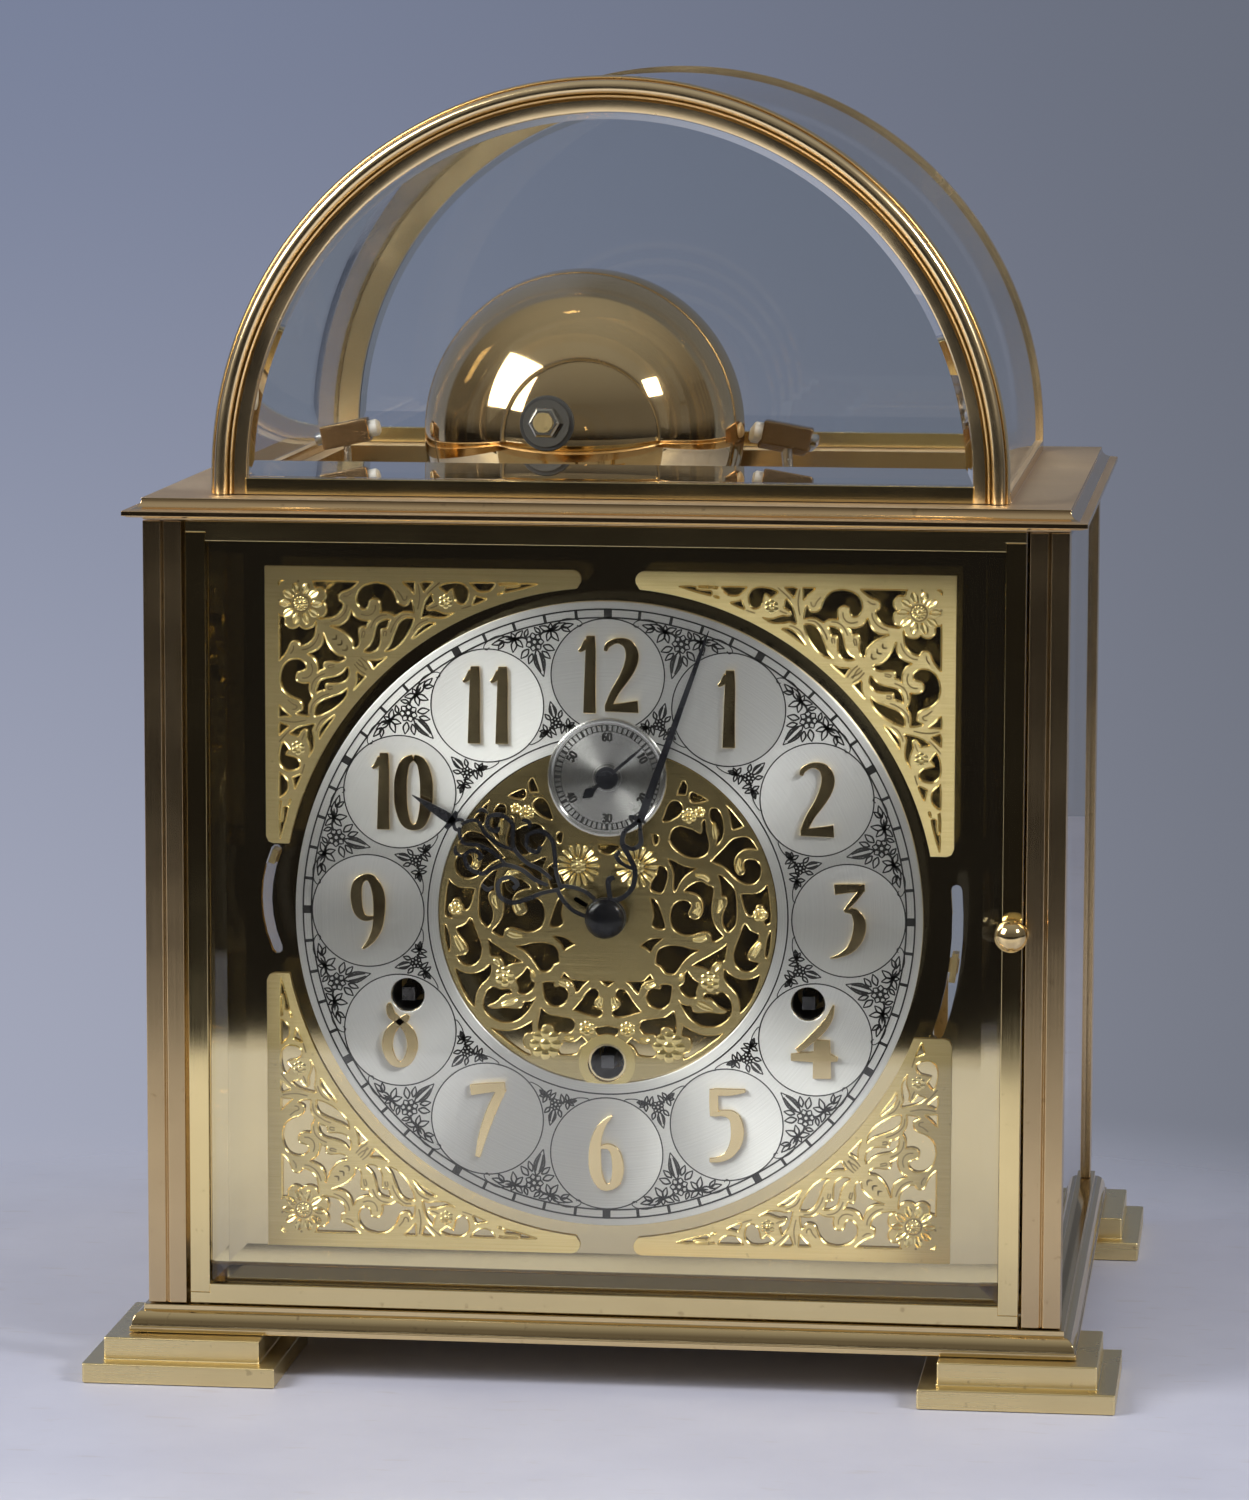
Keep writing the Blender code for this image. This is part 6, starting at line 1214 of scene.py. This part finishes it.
def wire(start, end, y, radius):
    """A round rod between two points in an upright plane at depth y, with rounded ends."""
    along = Vector((end[0] - start[0], 0.0, end[1] - start[1]))
    place = Matrix.Translation((start[0], y, start[1])) @ along.to_track_quat("Y", "Z").to_matrix().to_4x4()
    length, round_off = along.length, radius * 0.3
    return lathe([(0.0, 0.0), (radius - round_off, 0.0), (radius, round_off), (radius, length - round_off),
                  (radius - round_off, length), (0.0, length)], 16, place)


def hammer(name, pivot, y, head, lean, toward, tail=None):
    """Hub, wire, block, tip and screw of one hammer; toward is 1 if it strikes to the right."""
    body = name + "_arm"
    along = Vector((cos(lean), sin(lean)))
    head, hinge = Vector(head), Vector(pivot)
    half = along * HAMMER_LENGTH / 2
    block = bar(head - half, head + half, HAMMER_HEIGHT / 2, HAMMER_WIDTH / 2, y)
    block = made(name + "_block", block, HAMMER_BROWN, body)
    break_edges(block, BLOCK_EDGE, 3)
    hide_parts(name)
    strike = toward * along
    front, rear = head + toward * half, head - toward * half
    up = (head - hinge).normalized()
    rods = [("tip", NYLON, front - strike * SUNK, front + strike * TIP_LENGTH, TIP_RADIUS),
            ("screw", STEEL, rear + strike * SUNK, rear - strike * SCREW_LENGTH, SCREW_RADIUS),
            ("wire", STEEL, hinge + up * WIRE_START, head, WIRE_RADIUS)]
    for part, material, start, end, radius in rods:
        made(f"{name}_{part}", wire(start, end, y, radius), material, body)
    hub = [(HUB_BORE, -HUB_HALF), (HUB_RADIUS, -HUB_HALF), (HUB_RADIUS, HUB_HALF), (HUB_BORE, HUB_HALF)]
    hub = lathe(hub + hub[:1], 32, Matrix.Translation((hinge.x, y, hinge.y)))
    break_edges(made(name + "_hub", hub, MOVEMENT_BRASS, body), HUB_EDGE)
    if tail:
        down = Vector(tail)
        rod = wire(hinge + down.normalized() * WIRE_START, hinge + down, y, WIRE_RADIUS)
        made(name + "_tail", rod, STEEL, body)


REACH = HAMMER_LENGTH / 2 + TIP_LENGTH
along_spindle = on_spindle.to_3x3() @ Vector((0.0, 1.0, 0.0))
for index in range(4):
    rim = BELL_CENTRE + along_spindle * BELL_STEP * index
    x = rim.x + BELL_RADIUS - BELL_SHRINK * index + CHIME_GAP + REACH * cos(CHIME_LEAN)
    head = (x, rim.z + HAMMER_LENGTH / 2 * sin(CHIME_LEAN))
    hammer(f"chime_hammer_{index + 1}", CHIME_PIVOT, rim.y + BELL_SKIRT / 2, head, CHIME_LEAN, -1, CHIME_TAIL)
head = (HOUR_HEAD_X, BELL_CENTRE.z - REACH * sin(HOUR_LEAN))
hammer("hour_hammer", HOUR_PIVOT, BELL_SKIRT / 2, head, HOUR_LEAN, 1)

# Doors
# Front and rear doors of four polished brass bars, lapped at the corners, each with a bevelled pane, pivot
# pins at the left and a turned brass ball to pull it by.
ENDS = (("front", -1), ("rear", 1))
DOOR_HALF, DOOR_LOW, DOOR_HIGH, DOOR_BAR = 0.1135, 0.01955, 0.2351, 0.0054
DOOR_FACE, DOOR_BACK, RAIL_LAP, DOOR_EDGE = 0.1050, 0.1006, 0.0030, 0.00018
PIN_X, PIN_Y, PIN_RADIUS, PIN_REACH = -0.1095, 0.1028, 0.0010, 0.0022
STILE_BRASS = brushed_metal("door_stile_brass", PILLAR_GRAIN, SATIN_LIGHT, SATIN_DEEP, 0.04, 0.10)
RAIL_BRASS = brushed_metal("door_rail_brass", LEVEL_GRAIN, SATIN_LIGHT, SATIN_DEEP, 0.09, 0.17)
inside, low, high = DOOR_HALF - DOOR_BAR, DOOR_LOW + RAIL_LAP, DOOR_HIGH - RAIL_LAP
for end, side in ENDS:
    stiles, rails = bmesh.new(), bmesh.new()
    for hand_side in (-1, 1):
        upright = [(inside, low), (DOOR_HALF, low), (DOOR_HALF, high), (inside, high)]
        sheet_of(stiles, [[(hand_side * x, z) for x, z in upright]], side * DOOR_FACE, side * DOOR_BACK, 0.0)
    for place, edge, inward in (("foot", DOOR_LOW, 1), ("head", DOOR_HIGH, -1)):
        lap, reach = edge + inward * RAIL_LAP, edge + inward * DOOR_BAR
        level = [(-DOOR_HALF, edge), (DOOR_HALF, edge), (DOOR_HALF, lap), (inside, lap), (inside, reach),
                 (-inside, reach), (-inside, lap), (-DOOR_HALF, lap)]
        sheet_of(rails, [level], side * DOOR_FACE, side * DOOR_BACK, 0.0)
        pin = wire((PIN_X, edge + PIN_REACH), (PIN_X, edge - PIN_REACH), side * PIN_Y, PIN_RADIUS)
        made(f"{end}_door_pin_{place}", pin, STEEL, f"{end}_door")
    stiles = made(f"{end}_door_stiles", stiles, STILE_BRASS, f"{end}_door")
    rails = made(f"{end}_door_rails", rails, RAIL_BRASS, f"{end}_door")
    for bars in (stiles, rails):
        break_edges(bars, DOOR_EDGE)
    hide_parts(f"{end}_door_frame")
PANE_HALF, PANE_LOW, PANE_HIGH = 0.1078, 0.02525, 0.2294
PANE_SECTION = ((0.0, 0.1012), (0.0, 0.1028), (0.0050, 0.1044))
for end, side in ENDS:
    pane = []
    for inset, y in PANE_SECTION:
        reach, low = PANE_HALF - inset, PANE_LOW + inset
        level = [(-reach, low), (reach, low), (reach, PANE_HIGH), (-reach, PANE_HIGH)]
        pane.append([(x, side * y, z) for x, z in level])
    pane = made(f"{end}_door_pane", lofted(pane), CLEAR_GLASS, f"{end}_door", 5.0)
    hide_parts(f"{end}_door_glass")
KNOB_BRASS = polished_brass("knob_brass", (0.82, 0.64, 0.34), (0.70, 0.52, 0.25), 0.09, 0.18, 80.0)
KNOB_X, KNOB_Y, KNOB_RADIUS, NECK_RADIUS, NECK_LENGTH = 0.1108, 0.1053, 0.0045, 0.00225, 0.0018
for end, side in ENDS:
    start = asin(NECK_RADIUS / KNOB_RADIUS)
    middle = NECK_LENGTH + KNOB_RADIUS * cos(start)
    ball = arc_points(KNOB_RADIUS, start - pi / 2, pi / 2, 20, (0.0, middle))[1:-1]
    neck = [(0.0, 0.0), (NECK_RADIUS, 0.0), (NECK_RADIUS, NECK_LENGTH)]
    profile = neck + ball + [(0.0, middle + KNOB_RADIUS)]
    place = Matrix.Translation((KNOB_X, side * KNOB_Y, DIAL_Z))
    knob = lathe([(radius, side * y) for radius, y in profile], 40, place)
    knob = made(f"{end}_door_knob_turned", knob, KNOB_BRASS, f"{end}_door")
    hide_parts(f"{end}_door_knob")

# Hood
# Two D-shaped arches bent from moulded brass bar and softly polished, each with a bevelled pane, and
# a bent sheet of glass between them that stands on the curbs of the cornice.
HOOD_RADIUS, HOOD_CENTRE, HOOD_BOTTOM = 0.1082, 0.2466, 0.2416
ARCH_BAND, ARCH_RAIL = 0.0096, 0.0044
ARCH_BACK, ARCH_DEPTH, RAIL_FACE, RAIL_EDGE = 0.0900, 0.0070, 0.0949, 0.0002
HOOD_STEPS = 96
# Share of the band's width, from the pane outwards, and of the arch's depth
ARCH_SECTION = (
    (0.0, 0.0), (0.0, 0.62), (0.05, 0.66), (0.33, 0.72), (0.36, 0.60), (0.38, 0.62), (0.40, 0.76),
    (0.44, 0.80), (0.47, 0.76), (0.49, 0.62), (0.50, 0.72), (0.53, 0.86), (0.58, 0.95), (0.64, 0.99),
    (0.70, 1.0), (0.77, 0.99), (0.83, 0.94), (0.88, 0.85), (0.90, 0.74), (0.91, 0.62), (0.93, 0.70),
    (0.96, 0.72), (1.0, 0.64), (1.0, 0.0))
# Inset from the moulding, lift from the rail and depth of the back, the edge and the bevel of an arch pane
ARCH_PANE_SECTION = ((0.0003, 0.0003, 0.0003), (0.0003, 0.0003, 0.0020), (0.0020, 0.0047, 0.0033))
VAULT_FOOT, VAULT_OUTER, VAULT_INNER, VAULT_END = 0.2446, 0.1071, 0.1046, 0.0897
ARCH_BRASS = polished_brass("arch_brass", (0.95, 0.75, 0.44), (0.84, 0.63, 0.34), 0.20, 0.30, 40.0)


def bowed(radius, foot):
    """Points up one leg from its foot, round the bow of the hood and down the other leg."""
    bow = arc_points(radius, 0.0, pi, HOOD_STEPS, (0.0, HOOD_CENTRE))
    return [(radius, foot)] + bow + [(-radius, foot)]


def pane_outline(inset, lift):
    """The D of an arch pane, in from the moulding by the inset and up from the rail by the lift."""
    radius = HOOD_RADIUS - ARCH_BAND - inset
    start = asin((HOOD_BOTTOM + ARCH_RAIL + lift - HOOD_CENTRE) / radius)
    return arc_points(radius, start, pi - start, HOOD_STEPS, (0.0, HOOD_CENTRE))


reach, rail_top = HOOD_RADIUS - ARCH_BAND, HOOD_BOTTOM + ARCH_RAIL
for end, side in ENDS:
    loops = []
    for inner, outer in zip(bowed(reach, HOOD_BOTTOM), bowed(HOOD_RADIUS, HOOD_BOTTOM)):
        loops.append([(inner[0] + (outer[0] - inner[0]) * share, side * (ARCH_BACK + ARCH_DEPTH * rise),
                       inner[1] + (outer[1] - inner[1]) * share) for share, rise in ARCH_SECTION])
    arch = made(f"{end}_arch_moulded", lofted(loops), ARCH_BRASS, "case", 50.0)
    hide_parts(f"{end}_arch")
    level = [(-reach, HOOD_BOTTOM), (reach, HOOD_BOTTOM), (reach, rail_top), (-reach, rail_top)]
    rail = sheet_of(bmesh.new(), [level], side * RAIL_FACE, side * ARCH_BACK, 0.0)
    break_edges(made(f"{end}_arch_rail", rail, RAIL_BRASS, "case"), RAIL_EDGE)
    pane = []
    for inset, lift, depth in ARCH_PANE_SECTION:
        pane.append([(x, side * (ARCH_BACK + depth), z) for x, z in pane_outline(inset, lift)])
    pane = made(f"{end}_arch_pane", lofted(pane), CLEAR_GLASS, "case", 10.0)
    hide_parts(f"{end}_arch_glass")
outline = bowed(VAULT_OUTER, VAULT_FOOT) + bowed(VAULT_INNER, VAULT_FOOT)[::-1]
vault = lofted([[(x, y, z) for x, z in outline] for y in (-VAULT_END, VAULT_END)])
vault = made("vault_bent_glass", vault, CLEAR_GLASS, "case", 30.0)
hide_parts("vault_glass")

# Table, room and camera
# A pale table under the clock that fades into a plain blue-grey backdrop; its front is painted paler
# as a painted pool of window light. Metal facing the front sees the table as far as its front edge and a
# dark room beyond it. Soft lamps stand to the left and right.
TABLE_COLOUR, TABLE_FLECK = (0.62, 0.62, 0.68), (0.36, 0.33, 0.33)
PAINTED_LIT_LIGHT, PAINTED_LIT_DEEP = (0.76, 0.76, 0.79), (0.62, 0.62, 0.66)
FAR_LIGHT, FAR_DEEP = (0.51, 0.52, 0.61), (0.39, 0.40, 0.49)
TABLE_X, TABLE_Y, TABLE_TOP, TABLE_EDGE = 1.6, 1.0, -0.0001, -0.58
FADE_OUT, FADE_IN, NEAR_FROM, NEAR_TO = 0.42, 0.24, -0.18, -0.40
BACKDROP_LOW, BACKDROP_HIGH, BACKDROP_DIM = (0.38, 0.40, 0.50), (0.19, 0.22, 0.32), (0.125, 0.135, 0.16)
ROOM_LOW, ROOM_WALL, ROOM_CEILING = (0.010, 0.009, 0.009), (0.120, 0.112, 0.105), (0.32, 0.32, 0.32)
ROOM_LIGHT = (0.40, 0.41, 0.44)


def seen_how(tree):
    """Whether the camera sees a point, bare or through glass, and whether metal mirrors it; two sockets."""
    path = add(tree, "LightPath")
    seen = maths(tree, "MAXIMUM", path.outputs["Is Camera Ray"], path.outputs["Is Transmission Ray"])
    return seen, maths(tree, "GREATER_THAN", path.outputs["Glossy Depth"], 0.5)


mesh = bpy.data.meshes.new("table")
corners = ((-TABLE_X, -TABLE_Y), (TABLE_X, -TABLE_Y), (TABLE_X, TABLE_Y), (-TABLE_X, TABLE_Y))
mesh.from_pydata([(x, y, TABLE_TOP) for x, y in corners], [], [(0, 1, 2, 3)])
table = bpy.data.objects.new("table", mesh)
bpy.context.collection.objects.link(table)
material, tree, shader = finish("pale_table", TABLE_COLOUR, 0.45, 0.0)
mesh.materials.append(material)
place = add(tree, "TexCoord").outputs["Object"]
veins = add(tree, "TexNoise", {"Vector": place, "Scale": 9.0, "Detail": 8.0, "Roughness": 0.62})
drawn = add(tree, "Mapping", {"Vector": place, "Scale": (60.0, 210.0, 1.0)})
specks = add(tree, "TexNoise", {"Vector": drawn.outputs[0], "Scale": 1.0, "Detail": 3.0})
depth = add(tree, "SeparateXYZ", {0: place}).outputs["Y"]
# Paler towards the front edge: a painted pool of the window's light on the table.
near = rising(tree, depth, NEAR_FROM, NEAR_TO, shape="SMOOTHSTEP")
clouded = ranged(tree, veins.outputs["Fac"], -0.3, 1.3)
far_tone, painted_lit_tone = blended(tree, clouded, FAR_DEEP, FAR_LIGHT), blended(tree, clouded, PAINTED_LIT_DEEP, PAINTED_LIT_LIGHT)
tone = blended(tree, near, far_tone, painted_lit_tone)
fleck = rising(tree, specks.outputs["Fac"], 0.62, 0.72, 0.3)
tree.links.new(blended(tree, fleck, tone, TABLE_FLECK), shader.inputs["Base Color"])
away = vectors(tree, "LENGTH", vectors(tree, "ADD", place, (0.0, 0.1, 0.0)))
fade = rising(tree, away, FADE_OUT, FADE_IN, shape="SMOOTHSTEP")
front = rising(tree, depth, TABLE_EDGE - 0.01, TABLE_EDGE + 0.01)
seen, mirrored_in = seen_how(tree)
share = add(tree, "Mix", {0: seen, 2: 1.0, 3: fade})
share = add(tree, "Mix", {0: mirrored_in, 2: share.outputs[0], 3: front})
clear = add(tree, "BsdfTransparent")
mix = add(tree, "MixShader", {0: share.outputs[0], 1: clear.outputs[0], 2: shader.outputs[0]})
tree.links.new(mix.outputs[0], tree.nodes["Material Output"].inputs["Surface"])

world = bpy.data.worlds.new("room")
world.use_nodes = True
bpy.context.scene.world = world
tree = world.node_tree
look = add(tree, "SeparateXYZ", {0: add(tree, "TexCoord").outputs["Generated"]})
across, ahead, up = look.outputs["X"], look.outputs["Y"], look.outputs["Z"]
backdrop = blended(tree, rising(tree, up, -0.22, 0.02, shape="SMOOTHSTEP"), BACKDROP_LOW, BACKDROP_HIGH)
backdrop = blended(tree, rising(tree, across, -0.25, 0.03, 0.8, "SMOOTHSTEP"), backdrop, BACKDROP_DIM)
room = blended(tree, rising(tree, up, -0.06, 0.12, shape="SMOOTHSTEP"), ROOM_LOW, ROOM_WALL)
room = blended(tree, rising(tree, up, 0.35, 1.0), room, ROOM_CEILING)
room = blended(tree, rising(tree, ahead, 0.37, 0.43, shape="SMOOTHSTEP"), room, backdrop)
seen, mirrored_in = seen_how(tree)
light = blended(tree, mirrored_in, blended(tree, seen, ROOM_LIGHT, backdrop), room)
tree.links.new(light, tree.nodes["Background"].inputs["Color"])


def soft_lamp(name, at, towards, size, power, colour):
    """A rectangular soft lamp aimed at a point."""
    lamp = bpy.data.lights.new(name, "AREA")
    lamp.shape = "RECTANGLE"
    lamp.size, lamp.size_y = size
    lamp.energy = power
    lamp.color = colour
    obj = bpy.data.objects.new(name, lamp)
    bpy.context.collection.objects.link(obj)
    obj.location = at
    obj.rotation_euler = (Vector(towards) - Vector(at)).to_track_quat("-Z", "Y").to_euler()


soft_lamp("window", (-1.20, -0.86, 1.13), (0.0, 0.0, 0.15), (0.9, 1.0), 29.0, (1.0, 0.985, 0.96))
soft_lamp("far_window", (1.15, -0.62, 1.0), (0.0, 0.0, 0.2), (0.30, 0.30), 13.0, (1.0, 0.98, 0.98))

EYE, AIM = Vector((0.1896, -1.6284, 0.3789)), Vector((-0.00646, 0.0, 0.16080))
ROLL, LENS, SENSOR = 0.148, 92.14, 24.0
camera = bpy.data.cameras.new("photograph")
camera.sensor_fit = "VERTICAL"
camera.sensor_height = SENSOR
camera.lens = LENS
obj = bpy.data.objects.new("photograph", camera)
bpy.context.collection.objects.link(obj)
turn = (AIM - EYE).to_track_quat("-Z", "Y").to_matrix().to_4x4() @ Matrix.Rotation(radians(ROLL), 4, "Z")
obj.matrix_world = Matrix.Translation(EYE) @ turn
bpy.context.scene.camera = obj
bpy.context.scene.view_settings.view_transform = "Standard"
